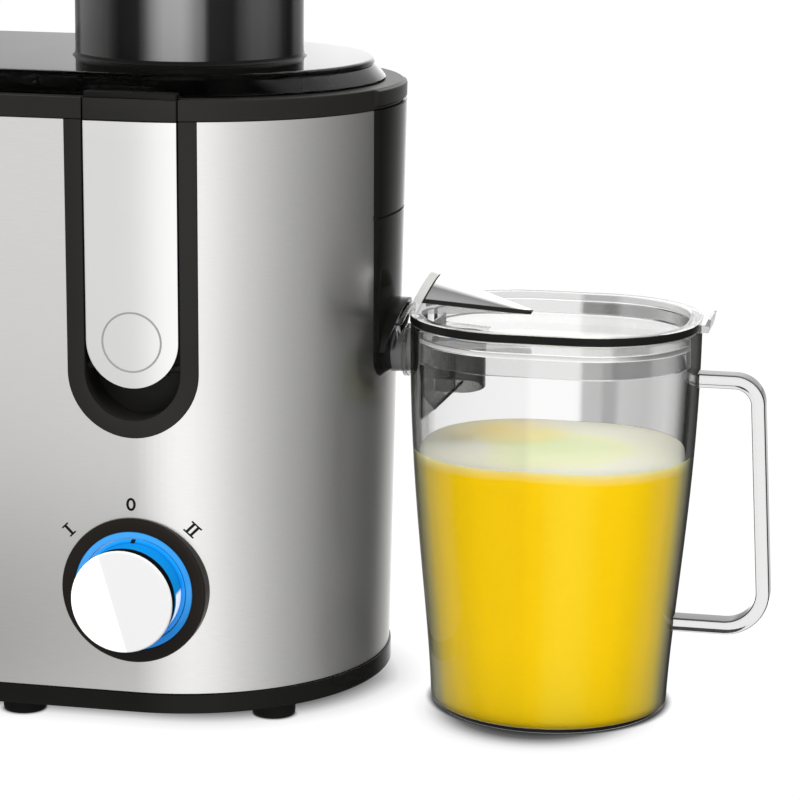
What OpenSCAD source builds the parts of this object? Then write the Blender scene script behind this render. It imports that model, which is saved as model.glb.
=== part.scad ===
// Centrifugal juicer: steel-wrapped housing, lid with feed chute, dial, latches, pulp bin and juice jug.
// +X points from the motor axis to the jug, -Y to the dial, +Z up, with the table at Z = 0.

/* [Housing] */
// Radius of the housing's round end at its lower edge
housing_r = 77.45; // [75:0.05:80]
// How much the housing's radius grows for each millimetre of height
housing_draft = 0.0157; // [0:0.0001:0.02]
// Distance from the motor axis to the housing's flat left wall
housing_left = 76; // [72:0.5:80]
// Height of the feet under the base tray
foot_h = 8.2; // [6:0.1:12]
// Height where the steel wrap starts
steel_z0 = 15.7; // [14:0.1:18]
// Height where the steel wrap ends and the collar starts
steel_z1 = 227.5; // [225:0.1:229]
// Height of the collar's top face
collar_z = 235.2; // [234:0.1:237]
// Thickness of the steel sheet
steel_t = 0.8; // [0.6:0.1:1]
// Wall thickness of the inner housing
carcass_t = 2.4; // [2:0.1:3]

/* [Latches] */
// Half width of the latch guide
guide_hw = 23.9; // [22:0.1:25]
// Half width of the channel in the latch guide
channel_hw = 17.5; // [17:0.1:18]
// Half width of the latch
latch_hw = 17; // [15:0.1:17]
// Height of the centre of the latch's round lower end
latch_end_z = 147.6; // [145:0.1:150]
// Height of the centre of the guide's round lower end
guide_end_z = 136.2; // [134:0.1:138]
// Height of the latch's pivot pin
latch_pin_z = 138; // [137:0.1:139]
// Radius of the latch's pivot pin
latch_pin_r = 1.6; // [1.2:0.1:1.8]

/* [Dial] */
// Height of the dial's axis
dial_z = 55.1; // [50:0.1:60]
// Radius of the dial's black bezel
bezel_r = 27.2; // [25:0.1:29]
// Radius of the dial knob at its face
knob_r = 19; // [17:0.1:20]
// How far the knob's face stands in front of the housing
knob_out = 17; // [12:0.1:20]

/* [Lid and chute] */
// Radius of the lid's round ends at its lower edge
lid_r = 74; // [72:0.1:75]
// Radius of the lid's top plate
lid_top_r = 70; // [66:0.1:71]
// Height of the lid's top face
lid_z = 243.2; // [243:0.1:248]
// Outer radius of the feed chute
chute_r = 43; // [40:0.5:46]
// Height of the feed chute's mouth
chute_z = 352; // [320:1:370]
// Wall thickness of the chute
chute_t = 3; // [2:0.1:4]
// Radius of the pusher
pusher_r = 37; // [34:0.5:38]

/* [Bowl and filter] */
// Inner radius of the juice bowl
bowl_r = 68.4; // [66:0.1:69]
// Upper radius of the filter basket
basket_r = 63; // [58:0.5:64]
// Lower radius of the filter basket
basket_low_r = 50; // [46:0.5:52]
// Height of the filter basket's floor
basket_z = 147; // [146.5:0.1:149]

/* [Pulp bin] */
// Distance from the motor axis to the centre of the bin's round end
bin_centre = 110; // [100:1:120]
// Gap between the bin and the housing
bin_gap = 1.5; // [1:0.1:3]
// Wall thickness of the bin
bin_t = 2.2; // [1.8:0.1:3]

/* [Jug] */
// Distance from the motor axis to the jug's axis
jug_x = 142; // [141:0.1:144]
// Height of the jug's rim
jug_h = 147.4; // [147:0.1:148]
// Half width of the jug's rim, along X
jug_rim_a = 54.1; // [54:0.05:54.5]
// Half depth of the jug's rim, along Y
jug_rim_b = 46.4; // [46:0.05:50]
// Corner radius of the jug's rim
jug_rim_r = 41.6; // [36:0.1:44]
// Radius of the jug's round base
jug_base_r = 45.2; // [44:0.1:46]
// Wall thickness of the jug
jug_t = 2.4; // [2:0.1:3]
// Thickness of the jug's handle bar
handle_t = 5.2; // [4:0.1:6]
// Width of the jug's handle bar
handle_w = 10; // [8:0.5:14]

/* [Spout] */
// Height of the spout's axis
spout_z = 134; // [133:0.1:135]
// Outer radius of the spout where it leaves the housing
spout_r = 8.5; // [8:0.1:9]
// Outer radius of the spout at its end
spout_end_r = 7; // [6:0.1:8]
// Distance from the motor axis to the spout's end
spout_x = 95.6; // [94:0.1:96]

/* [Hidden] */

// The motor axis stands here, so that the row's origin is the middle of the footprint
motor_x = -17.4;
motor_y = 7;

round_fn = 96;
far = 400;
skin = 0.2;                              // gap between parts that lie on each other
fit = 0.05;                              // radial clearance of a running fit
gap = 0.3;                               // clearance between bodies that move

c_black = [0.07, 0.07, 0.07];
c_dark = [0.2, 0.2, 0.2];
c_steel = [0.78, 0.78, 0.76];
c_silver = [0.85, 0.85, 0.85];
c_blue = [0.1, 0.5, 0.9];
c_smoke = [0.25, 0.25, 0.25, 0.6];
c_clear = [0.85, 0.87, 0.87, 0.4];
c_rubber = [0.05, 0.05, 0.05];
c_copper = [0.75, 0.4, 0.2];
c_iron = [0.4, 0.4, 0.42];
c_white = [0.9, 0.9, 0.88];
c_green = [0.1, 0.35, 0.15];

feet_at = [[43.6, -42.2], [43.6, 42.2], [-49.5, -57.8], [-49.5, 57.8]];
screws_at = [[60, -26], [60, 26], [-64, -30], [-64, 30]];
ring_r = housing_r + 0.95;               // base tray's outer radius
deck_z = 120;                            // underside of the shelf that carries the bowl
deck_t = 3;
wrap_in = steel_t + skin;                // depth of the inner housing's outer face
panel_z0 = 126;
panel_hw_top = 26;
panel_hw_low = 21.6;
panel_out = 1.4;
panel_seam_z = 187;
bowl_floor_z = 123.4;
bowl_t = 2.2;
hub_r = 16;
rim_z = 234.6;
dial_wall_r = 24;

function rad(z) = housing_r + (z - steel_z0) * housing_draft;

module machine() { translate([motor_x, motor_y, 0]) children(); }

// Drafted solid on the housing's plan: half round about the motor axis, straight to x_left.
module drafted(r0, r1, z0, z1, x_left) {
    rotate([0, 0, -90]) rotate_extrude(angle = 180, $fn = round_fn)
        polygon([[0, z0], [r0, z0], [r1, z1], [0, z1]]);
    rotate([90, 0, -90]) linear_extrude(-x_left)
        polygon([[-r0, z0], [r0, z0], [r1, z1], [-r1, z1]]);
}

// The same, given by how deep it lies below the steel's outer face.
module inside_face(depth, z0, z1, x_left) {
    drafted(rad(z0) - depth, rad(z1) - depth, z0, z1, x_left);
}

// Vertical bar with a round lower end, standing through the front wall.
module bar(hw, end_z, top_z, y_out, y_in) {
    translate([0, -y_in, 0]) rotate([90, 0, 0]) linear_extrude(y_out - y_in) {
        translate([0, end_z]) circle(r = hw, $fn = round_fn);
        translate([-hw, end_z]) square([2 * hw, top_z - end_z]);
    }
}

// Round bar across the front wall, along Y.
module front_rod(r, y_out, y_in, z = dial_z) {
    translate([0, -y_in, z]) rotate([90, 0, 0]) cylinder(r = r, h = y_out - y_in, $fn = round_fn);
}

// ---------------------------------------------------------------- base

module base_tray() {
    color(c_black) machine() difference() {
        drafted(ring_r, ring_r - 0.2, foot_h, steel_z0 - skin, -housing_left - 0.6);
        drafted(ring_r - 2.8, ring_r - 2.8, foot_h + 3, steel_z0 + 1, -housing_left + 2.2);
        for (p = feet_at) translate([p.x, p.y, foot_h - 1]) cylinder(r = 8.4, h = 2.5, $fn = 48);
        for (p = screws_at) translate([p.x, p.y, foot_h - 1]) cylinder(r = 2.1, h = 8, $fn = 32);
        for (a = [0:30:330]) rotate([0, 0, a]) translate([14, -1.5, foot_h - 1]) cube([18, 3, 6]);
    }
}

module rubber_feet() {
    color(c_rubber) machine() for (p = feet_at) translate([p.x, p.y, 0]) {
        cylinder(r1 = 7.6, r2 = 8.25, h = 1.2, $fn = 48);
        translate([0, 0, 1.2]) cylinder(r = 8.25, h = foot_h + 0.3, $fn = 48);
    }
}

module base_screws() {
    color(c_iron) machine() for (p = screws_at) translate([p.x, p.y, foot_h + 3]) {
        cylinder(r = 4, h = 2.2, $fn = 32);
        translate([0, 0, -2.6]) cylinder(r = 1.9, h = 2.7, $fn = 32);
    }
}

// ---------------------------------------------------------------- housing

// Opening for the spout panel in the right wall, with round lower corners.
module spout_window(grow) {
    hw1 = panel_hw_top + grow;
    hw0 = panel_hw_low + grow;
    z0 = panel_z0 - grow;
    rotate([90, 0, 90]) linear_extrude(far)
        polygon([[-hw0 + 8, z0], [hw0 - 8, z0], [hw0 - 8, z0 + 8], [hw0, z0 + 8], [hw1, collar_z],
            [-hw1, collar_z], [-hw0, z0 + 8], [-hw0 + 8, z0 + 8]]);
    for (s = [-1, 1]) translate([0, s * (hw0 - 8), z0 + 8]) rotate([0, 90, 0])
        cylinder(r = 8, h = far, $fn = 48);
}

module spout_hole() {
    translate([60, 0, spout_z]) rotate([0, 90, 0]) cylinder(r = spout_r + 0.2, h = 40, $fn = 64);
}

module inner_housing() {
    z1 = steel_z1 - skin;
    in = wrap_in + carcass_t;
    color(c_dark) machine() difference() {
        inside_face(wrap_in, steel_z0, z1, -housing_left);
        difference() {
            inside_face(in, steel_z0 - 1, z1 + 1, -housing_left + carcass_t);
            translate([-far / 2, -far / 2, deck_z]) cube([far, far, deck_t]);
        }
        translate([0, 0, deck_z - 1]) cylinder(r = hub_r + 2, h = deck_t + 2, $fn = 64);
        for (side = [0, 1]) mirror([0, side, 0])
            bar(guide_hw + skin, guide_end_z, far, 90, 60);
        front_rod(dial_wall_r, 90, 60);
        translate([0, 0, spout_z]) rotate([0, 90, 0]) cylinder(r = 11, h = 90, $fn = 64);
        translate([-30, 60, 32]) rotate([-90, 0, 0]) cylinder(r = 7.2, h = 30, $fn = 48);
    }
}

module steel_wrap() {
    color(c_steel) machine() difference() {
        inside_face(0, steel_z0, steel_z1 - 0.1, -housing_left + 0.5);
        inside_face(steel_t, steel_z0 - 1, steel_z1 + 1, -far);
        for (side = [0, 1]) mirror([0, side, 0])
            bar(guide_hw + 0.1, guide_end_z, far, 90, 60);
        front_rod(dial_wall_r + 1, 90, 60);
        spout_window(0.1);
        spout_hole();
        translate([-30, 60, 32]) rotate([-90, 0, 0]) cylinder(r = 7.2, h = 30, $fn = 48);
    }
}

module collar() {
    notch_hw = channel_hw + 0.1;
    color(c_dark) machine() difference() {
        union() {
            inside_face(0, steel_z1, collar_z, -housing_left);
            intersection() {
                inside_face(-panel_out, steel_z1 + 0.5, collar_z, -1);
                spout_window(0);
            }
        }
        drafted(73.4, 73.4, steel_z1 - 1, collar_z + 1, -housing_left + 2.6);
        for (s = [-1, 1]) translate([-notch_hw, s > 0 ? 75.3 : -75.3 - 20, steel_z1 - 1])
            cube([2 * notch_hw, 20, 20]);
    }
}

// ---------------------------------------------------------------- latch guides and latches

recess_top_z = 141.6;                    // top of the finger recess
recess_roof_t = 1.4;

module latch_guide() {
    difference() {
        intersection() {
            bar(guide_hw, guide_end_z, steel_z1 - 0.1, 90, 62.4);
            inside_face(-0.3, 100, steel_z1, -far);
        }
        // back cut away above the recess, where the bowl is wide
        inside_face(8.4, recess_top_z + recess_roof_t, steel_z1 + 1, -far);
        // channel for the latch, shallow above and deep at the finger recess
        difference() {
            bar(channel_hw, guide_end_z, far, 90, 64.4);
            intersection() {
                inside_face(7, recess_top_z, steel_z1 + 1, -far);
                translate([-far / 2, -far / 2, recess_top_z]) cube([far, far, far]);
            }
        }
        pin_hole(latch_pin_r, 21.5);
    }
}

pin_y = 74.9;

module pin_hole(r, half_len) {
    translate([-half_len, -pin_y, latch_pin_z]) rotate([0, 90, 0])
        cylinder(r = r, h = 2 * half_len, $fn = 48);
}

module front_latch_guide() { color(c_black) machine() latch_guide(); }
module rear_latch_guide() { color(c_black) machine() mirror([0, 1, 0]) latch_guide(); }

module front_latch_pin() { color(c_steel) machine() pin_hole(latch_pin_r, 21.4); }
module rear_latch_pin() { color(c_steel) machine() mirror([0, 1, 0]) pin_hole(latch_pin_r, 21.4); }

plate_t = 1;
arm_t = 5.2;

module latch_arm() {
    head_z0 = steel_z1 - 0.3;
    head_y = 75.7;                       // back of the head, in the collar's notch
    difference() {
        union() {
            intersection() {
                bar(latch_hw, latch_end_z, steel_z1 - 0.15, 90, 60);
                inside_face(plate_t + 0.05, 110, steel_z1, -far);
                union() {
                    difference() {
                        inside_face(0, 110, steel_z1, -far);
                        inside_face(arm_t, 109, steel_z1 + 1, -far);
                    }
                    pin_hole(3.2, latch_hw);
                }
            }
            // head, flush with the collar, with a toe above it
            intersection() {
                translate([-latch_hw, -90, head_z0]) cube([2 * latch_hw, 90 - head_y, 20]);
                inside_face(0, head_z0, collar_z, -far);
            }
            translate([-latch_hw, -79.6, collar_z]) cube([2 * latch_hw, 79.6 - head_y, 2.4]);
            translate([-latch_hw, -head_y - 0.1, collar_z + 0.4]) cube([2 * latch_hw, 1.3, 2]);
        }
        pin_hole(latch_pin_r + fit, 30);
    }
}

module latch_plate() {
    difference() {
        intersection() {
            bar(latch_hw, latch_end_z, steel_z1 - 0.4, 90, 60);
            difference() {
                inside_face(0, 110, steel_z1, -far);
                inside_face(plate_t, 109, steel_z1 + 1, -far);
            }
        }
        // ring groove round the round end's centre
        difference() {
            front_rod(11.1, 90, rad(latch_end_z) - 0.4, latch_end_z);
            front_rod(10.6, 90, rad(latch_end_z) - 0.5, latch_end_z);
        }
    }
}

module front_latch_arm() { color(c_black) machine() latch_arm(); }
module rear_latch_arm() { color(c_black) machine() mirror([0, 1, 0]) latch_arm(); }
module front_latch_plate() { color(c_silver) machine() latch_plate(); }
module rear_latch_plate() { color(c_silver) machine() mirror([0, 1, 0]) latch_plate(); }

// ---------------------------------------------------------------- side panel and spout

shroud_r = 20;
visor_r = 18;

module shroud() {
    difference() {
        intersection() {
            translate([70, 0, spout_z]) rotate([0, 90, 0]) cylinder(r = shroud_r, h = 20, $fn = round_fn);
            translate([0, far / 2, 0]) rotate([90, 0, 0]) linear_extrude(far)
                polygon([[76, spout_z + 1.8], [79.7, spout_z + 1.8], [85.4, spout_z + 19.5], [85.4, 160], [76, 160]]);
        }
        translate([80, 0, spout_z]) rotate([0, 90, 0]) cylinder(r = visor_r + 0.1, h = 20, $fn = round_fn);
    }
}

module spout_panel() {
    seam = 0.7;
    color(c_black) machine() difference() {
        union() {
            intersection() {
                spout_window(0);
                inside_face(-panel_out, panel_z0 - 1, steel_z1, -1);
            }
            shroud();
        }
        inside_face(steel_t + skin / 2, panel_z0 - 2, steel_z1 + 1, -far);
        intersection() {
            translate([0, -20, panel_seam_z]) cube([far, 40, seam]);
            difference() {
                inside_face(-5, panel_seam_z - 1, panel_seam_z + 2, -1);
                inside_face(-panel_out + seam, panel_seam_z - 2, panel_seam_z + 3, -1);
            }
        }
        spout_hole();
    }
}

spout_wall = 1.6;
spout_taper_x = 84;

// Straight round bar along the spout that tapers past the panel.
module spout_bar(x0, r0, r1) {
    translate([0, 0, spout_z]) rotate([0, 90, 0]) {
        translate([0, 0, x0]) cylinder(r = r0, h = spout_taper_x - x0, $fn = 64);
        translate([0, 0, spout_taper_x]) cylinder(r1 = r0, r2 = r1, h = spout_x - spout_taper_x, $fn = 64);
        translate([0, 0, spout_x]) cylinder(r = r1, h = 0.01, $fn = 64);
    }
}

module juice_spout() {
    color(c_clear) machine() difference() {
        spout_bar(57, spout_r, spout_end_r);
        spout_bar(50, spout_r - spout_wall, spout_end_r - spout_wall);
        // open top just outside the panel
        translate([0, far / 2, 0]) rotate([90, 0, 0]) linear_extrude(far)
            polygon([[81, spout_z + 0.8], [84.2, spout_z + 9.5], [81, spout_z + 9.5]]);
        // ends inside the bowl's wall
        translate([0, 0, 100]) cylinder(r = 60, h = 60, $fn = round_fn);
    }
}

module spout_ring() {
    color(c_smoke) machine() translate([84.6, 0, spout_z]) rotate([0, 90, 0]) difference() {
        cylinder(r = spout_r + 1.6, h = 1.6, $fn = 64);
        translate([0, 0, -1]) cylinder(r = spout_r, h = 4, $fn = 64);
    }
}

module spout_visor() {
    color(c_smoke) machine() difference() {
        translate([81.2, 0, spout_z]) rotate([0, 90, 0]) cylinder(r = visor_r, h = 8, $fn = round_fn);
        translate([80, 0, spout_z]) rotate([0, 90, 0]) cylinder(r = visor_r - 1.6, h = 9, $fn = round_fn);
        translate([70, -30, 100]) cube([30, 60, spout_z + 12 - 100]);
        // slanted front edge
        translate([0, far / 2, 0]) rotate([90, 0, 0]) linear_extrude(far)
            polygon([[85.2, spout_z + 10], [87, spout_z + 18.5], [95, spout_z + 18.5], [95, spout_z + 10]]);
    }
}

// ---------------------------------------------------------------- dial

module dial_bezel() {
    y_face = rad(dial_z) + 2;
    color(c_black) machine() difference() {
        union() {
            front_rod(dial_wall_r - 0.1, 76, 70);
            intersection() {
                front_rod(bezel_r, y_face, 68);
                difference() {
                    front_rod(bezel_r, y_face, 60);
                    inside_face(-0.1, 10, 120, -far);
                }
            }
            intersection() {
                front_rod(dial_wall_r - 0.1, y_face, 72);
                front_rod(bezel_r, y_face, 60);
            }
        }
        front_rod(22.3, 90, y_face - 1.6);
        front_rod(20, 90, 73.8);
        front_rod(4.5, 90, 60);
    }
}

module light_ring() {
    y_face = rad(dial_z) + 2;
    color(c_blue) machine() difference() {
        front_rod(22.2, y_face - 0.4, y_face - 1.5);
        front_rod(19.9, y_face, y_face - 3);
    }
}

module rotary_switch() {
    color(c_dark) machine() difference() {
        union() {
            translate([-12, -69.6, dial_z - 12]) cube([24, 12, 24]);
            front_rod(4.3, 76, 69);
        }
        front_rod(3 + fit, 90, 60);
    }
}

module dial_knob() {
    y0 = rad(dial_z) + 0.6;
    y1 = rad(dial_z) + knob_out - 1.4;
    color(c_black) machine() {
        translate([0, -y0, dial_z]) rotate([90, 0, 0])
            cylinder(r1 = knob_r - 1, r2 = knob_r - 0.2, h = y1 - y0, $fn = round_fn);
        front_rod(3, y0, 62);
    }
}

module dial_face() {
    y1 = rad(dial_z) + knob_out - 1.4;
    color(c_silver) machine() {
        front_rod(knob_r, y1 + 1, y1);
        translate([0, -y1 - 1, dial_z]) rotate([90, 0, 0])
            cylinder(r1 = knob_r, r2 = knob_r - 0.4, h = 0.4, $fn = round_fn);
    }
}

module dial_flange() {
    y_face = rad(dial_z) + 2;
    color(c_blue) machine() difference() {
        union() {
            front_rod(19.5, y_face - 0.6, 76.6);
            translate([-0.6, -y_face + 0.2, dial_z + 18.1]) cube([1.2, 0.5, 1.3]);
        }
        front_rod(knob_r - 0.9, 90, rad(dial_z) + 0.6);
        front_rod(3, 90, 60);
    }
}

// ---------------------------------------------------------------- electrics

module control_board() {
    color(c_green) machine() {
        translate([-34, -55, 26]) cube([68, 1.6, 60]);
        for (x = [-24, 2, 20]) translate([x, -53.4, 34]) cube([10, 6, 14]);
    }
}

module lid_switch() {
    color(c_dark) machine() {
        translate([-72, -76.6, 205]) cube([12, 9, 16]);
        translate([-66, -72, 221]) cylinder(r = 1.6, h = 3, $fn = 24);
    }
}

module cord_inlet() {
    color(c_rubber) machine() translate([-30, 0, 32]) rotate([-90, 0, 0]) difference() {
        union() {
            translate([0, 0, 72]) cylinder(r = 7, h = 7.2, $fn = 48);
            translate([0, 0, rad(42) + 0.05]) cylinder(r = 9.5, h = 2.4, $fn = 48);
        }
        translate([0, 0, 60]) cylinder(r = 3.6, h = 40, $fn = 48);
    }
}

// ---------------------------------------------------------------- motor

shaft_r = 4;
core_r = 23;

module lower_bracket() {
    color(c_iron) machine() difference() {
        union() {
            translate([0, 0, 20]) cylinder(r = 44, h = 3, $fn = round_fn);
            translate([0, 0, 17]) cylinder(r = 9, h = 6, $fn = 48);
        }
        translate([0, 0, 10]) cylinder(r = shaft_r + fit, h = 20, $fn = 48);
        for (a = [0:45:315]) rotate([0, 0, a]) translate([24, 0, 19]) cylinder(r = 6, h = 6, $fn = 32);
    }
}

module upper_bracket() {
    color(c_iron) machine() difference() {
        union() {
            translate([0, 0, 107]) cylinder(r = 48, h = 3, $fn = round_fn);
            translate([0, 0, 107]) cylinder(r = 9, h = 8, $fn = 48);
            for (a = [45:90:315]) rotate([0, 0, a]) translate([44.5, 0, 23]) cylinder(r = 3, h = 85, $fn = 32);
        }
        translate([0, 0, 100]) cylinder(r = shaft_r + fit, h = 20, $fn = 48);
        for (a = [0:60:300]) rotate([0, 0, a]) translate([25, 0, 106]) cylinder(r = 6, h = 6, $fn = 32);
    }
}

module stator() {
    color(c_iron) machine() difference() {
        translate([0, 0, 46]) cylinder(r = 41, h = 36, $fn = round_fn);
        translate([0, 0, 45]) cylinder(r = core_r + 0.8, h = 40, $fn = round_fn);
    }
}

module stator_windings() {
    color(c_copper) machine() for (z = [39, 82]) translate([0, 0, z]) difference() {
        cylinder(r = 37, h = 7, $fn = round_fn);
        translate([0, 0, -1]) cylinder(r = 27, h = 9, $fn = round_fn);
    }
}

module carbon_brushes() {
    color(c_dark) machine() for (side = [0, 1]) mirror([side, 0, 0])
        translate([13.4, -4, 93]) cube([16, 8, 7]);
}

module motor_dampers() {
    color(c_rubber) machine() for (a = [0:90:270]) rotate([0, 0, a])
        translate([38, 0, 110]) cylinder(r = 6, h = deck_z - 110, $fn = 32);
}

module motor_shaft() {
    color(c_steel) machine() translate([0, 0, 14]) cylinder(r = shaft_r, h = 128, $fn = 48);
}

module on_shaft(r, z0, z1) {
    translate([0, 0, z0]) difference() {
        cylinder(r = r, h = z1 - z0, $fn = round_fn);
        translate([0, 0, -1]) cylinder(r = shaft_r, h = z1 - z0 + 2, $fn = 48);
    }
}

module rotor_core() {
    color(c_iron) machine() difference() {
        on_shaft(core_r, 44, 84);
        for (a = [0:30:330]) rotate([0, 0, a]) translate([core_r - 2, -0.8, 40]) cube([5, 1.6, 50]);
    }
}

module commutator() { color(c_copper) machine() on_shaft(13, 88, 103); }

module cooling_fan() {
    color(c_dark) machine() {
        on_shaft(10, 26, 37);
        for (a = [0:40:320]) rotate([0, 0, a]) translate([9, -0.9, 27]) cube([25, 1.8, 9]);
    }
}

module drive_coupling() {
    color(c_dark) machine() difference() {
        translate([0, 0, 118.5]) cylinder(r = 11.6, h = 26, $fn = 64);
        translate([0, 0, 117]) cylinder(r = shaft_r, h = 25, $fn = 48);
        for (a = [0:60:300]) rotate([0, 0, a]) translate([11.6, 0, 128]) cylinder(r = 1.6, h = 20, $fn = 24);
    }
}

// ---------------------------------------------------------------- bowl and filter

module juice_bowl() {
    out_r = bowl_r + bowl_t;
    color(c_smoke) machine() difference() {
        rotate_extrude($fn = round_fn) polygon([
            [hub_r, bowl_floor_z], [58, bowl_floor_z], [61, 130], [62, 143], [out_r, 160],
            [out_r, rim_z - 3], [72.6, rim_z - 3], [72.6, rim_z], [bowl_r, rim_z], [bowl_r, 161.2],
            [60, 144], [59, 131], [56.4, bowl_floor_z + bowl_t], [hub_r + 2, bowl_floor_z + bowl_t],
            [hub_r + 2, 144], [hub_r, 144]]);
        translate([40, 0, spout_z]) rotate([0, 90, 0]) cylinder(r = spout_r + 0.02, h = 60, $fn = 64);
    }
}

module bowl_seal() {
    color(c_rubber) machine() rotate_extrude($fn = round_fn)
        polygon([[71.2, rim_z + 0.05], [72.6, rim_z + 0.05], [72.6, rim_z + 0.5], [71.2, rim_z + 0.5]]);
}

module filter_basket() {
    top_z = 222;
    t = 1;
    color(c_steel) machine() {
        rotate_extrude($fn = round_fn) polygon([
            [12, basket_z], [basket_low_r, basket_z], [basket_r, top_z], [basket_r - t, top_z],
            [basket_low_r - t, basket_z + 2], [12, basket_z + 2]]);
        translate([0, 0, 129]) difference() {
            cylinder(r = 14.6, h = basket_z - 129 + 1, $fn = 64);
            translate([0, 0, -1]) cylinder(r = 11.6, h = 40, $fn = 64);
        }
    }
}

module basket_rim() {
    color(c_white) machine() rotate_extrude($fn = round_fn)
        polygon([[basket_r + 0.05, 215], [basket_r + 1.6, 215], [basket_r + 2.2, 223.4],
            [basket_r - 0.6, 223.4], [basket_r - 0.6, 222.05], [basket_r + 0.05, 222.05]]);
}

module grater_disc() {
    teeth = 14;
    color(c_silver) machine() {
        translate([0, 0, basket_z + 2.05]) cylinder(r = 45, h = 1.6, $fn = round_fn);
        translate([0, 0, basket_z + 3.6]) cylinder(r1 = 9, r2 = 5, h = 5, $fn = 48);
        for (ring = [16, 27, 38], i = [0:teeth - 1]) rotate([0, 0, 360 * (i + ring / 11) / teeth])
            translate([ring, -0.5, basket_z + 3.6]) cube([4, 1, 1.8]);
    }
}

// ---------------------------------------------------------------- lid, chute and pusher

// Stadium over bowl and bin: round about the motor axis and about the bin's centre.
module stadium(r, z0, z1, r1 = 0) {
    top = r1 > 0 ? r1 : r;
    drafted(r, top, z0, z1, -bin_centre / 2);
    translate([-bin_centre, 0, 0]) mirror([1, 0, 0]) drafted(r, top, z0, z1, -bin_centre / 2);
}

lid_z0 = collar_z + gap;
lid_groove_z = 240.9;
lid_groove_h = 0.7;

// Flat top plate on a narrower band that leaves a groove above the skirt.
module lid() {
    color(c_smoke) machine() difference() {
        union() {
            stadium(lid_top_r - 1, lid_groove_z, lid_groove_z + lid_groove_h);
            stadium(lid_top_r, lid_groove_z + lid_groove_h, lid_z);
        }
        translate([0, 0, lid_z - 10]) cylinder(r = chute_r, h = 20, $fn = round_fn);
    }
}

// Sloping edge round the lid, notched for the two latches.
module lid_skirt() {
    notch_hw = latch_hw + 0.6;
    color(c_smoke) machine() difference() {
        stadium(lid_r, lid_z0, lid_groove_z, lid_top_r);
        stadium(lid_r - 3, lid_z0 - 1, lid_groove_z + 0.3, lid_top_r - 3);
        for (s = [-1, 1]) translate([-notch_hw, s > 0 ? 71.9 : -71.9 - 20, lid_z0 - 1])
            cube([2 * notch_hw, 20, 4]);
    }
}

// Ring that hangs into the bowl, open towards the pulp bin.
module lid_ring() {
    color(c_smoke) machine() difference() {
        translate([0, 0, 230]) cylinder(r = bowl_r - 1.7, h = lid_groove_z - 230, $fn = round_fn);
        translate([0, 0, 229]) cylinder(r = bowl_r - 3.3, h = 20, $fn = round_fn);
        translate([-100, -50, 229]) cube([60, 100, 20]);
    }
}

chute_low_z = 162;

module feed_chute() {
    in_r = chute_r - chute_t;
    color(c_smoke) machine() difference() {
        union() {
            translate([0, 0, chute_low_z]) cylinder(r = chute_r, h = chute_z - chute_low_z, $fn = round_fn);
            translate([0, 0, chute_z - 4]) cylinder(r = chute_r + 2, h = 4, $fn = round_fn);
            translate([0, 0, lid_z]) cylinder(r1 = chute_r + 0.9, r2 = chute_r, h = 0.9, $fn = round_fn);
        }
        translate([0, 0, chute_low_z - 1]) cylinder(r = in_r, h = chute_z, $fn = round_fn);
    }
}

module pusher() {
    bottom_z = 248;
    color(c_dark) machine() difference() {
        translate([0, 0, bottom_z]) cylinder(r = pusher_r, h = chute_z + 0.3 - bottom_z, $fn = round_fn);
        translate([0, 0, bottom_z + 3]) cylinder(r = pusher_r - 2.4, h = chute_z, $fn = round_fn);
    }
}

module pusher_cap() {
    z0 = chute_z + gap;
    color(c_black) machine() difference() {
        union() {
            translate([0, 0, z0]) cylinder(r = chute_r + 1.5, h = 4, $fn = round_fn);
            translate([0, 0, z0 + 4]) cylinder(r1 = chute_r - 4, r2 = chute_r - 8, h = 30, $fn = round_fn);
            translate([0, 0, z0 + 34]) cylinder(r1 = chute_r - 8, r2 = chute_r - 5, h = 5, $fn = round_fn);
        }
        translate([0, 0, z0 - 1]) cylinder(r = chute_r - 12, h = 35, $fn = round_fn);
    }
}

// ---------------------------------------------------------------- pulp bin

module bin_solid(r0, r1, z0, z1, x_right) {
    translate([-bin_centre, 0, 0]) mirror([1, 0, 0]) drafted(r0, r1, z0, z1, -(bin_centre + x_right));
}

module pulp_bin() {
    x_right = -housing_left - bin_gap;
    color(c_smoke) machine() difference() {
        bin_solid(rad(0), rad(collar_z), 0, collar_z, x_right);
        bin_solid(rad(0) - bin_t, rad(collar_z + 1) - bin_t, 3, collar_z + 1, x_right - bin_t);
    }
}

// ---------------------------------------------------------------- jug

// Share of the way from the base's plan to the rim's plan at height z.
function jug_share(z) = pow(sin(90 * pow(min(1, max(0, z / jug_h)), 0.75)), 2);
function jug_a(z) = jug_base_r + (jug_rim_a - jug_base_r) * jug_share(z);
function jug_b(z) = jug_base_r + (jug_rim_b - jug_base_r) * jug_share(z);
function jug_c(z) = jug_base_r + (jug_rim_r - jug_base_r) * jug_share(z);

corner_steps = 12;
ring_n = 4 * corner_steps;

// One point of a rounded rectangle with half sizes a and b and corner radius c.
function ring_point(i, a, b, c, z) =
    let (q = floor(i / corner_steps), t = 90 * q + 90 * (i % corner_steps) / (corner_steps - 1),
        sx = (q == 0 || q == 3) ? 1 : -1, sy = q < 2 ? 1 : -1)
    [sx * (a - c) + c * cos(t), sy * (b - c) + c * sin(t), z];
function jug_ring(z, inset) =
    [for (i = [0:ring_n - 1]) ring_point(i, jug_a(z) - inset, jug_b(z) - inset, jug_c(z) - inset, z)];

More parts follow.
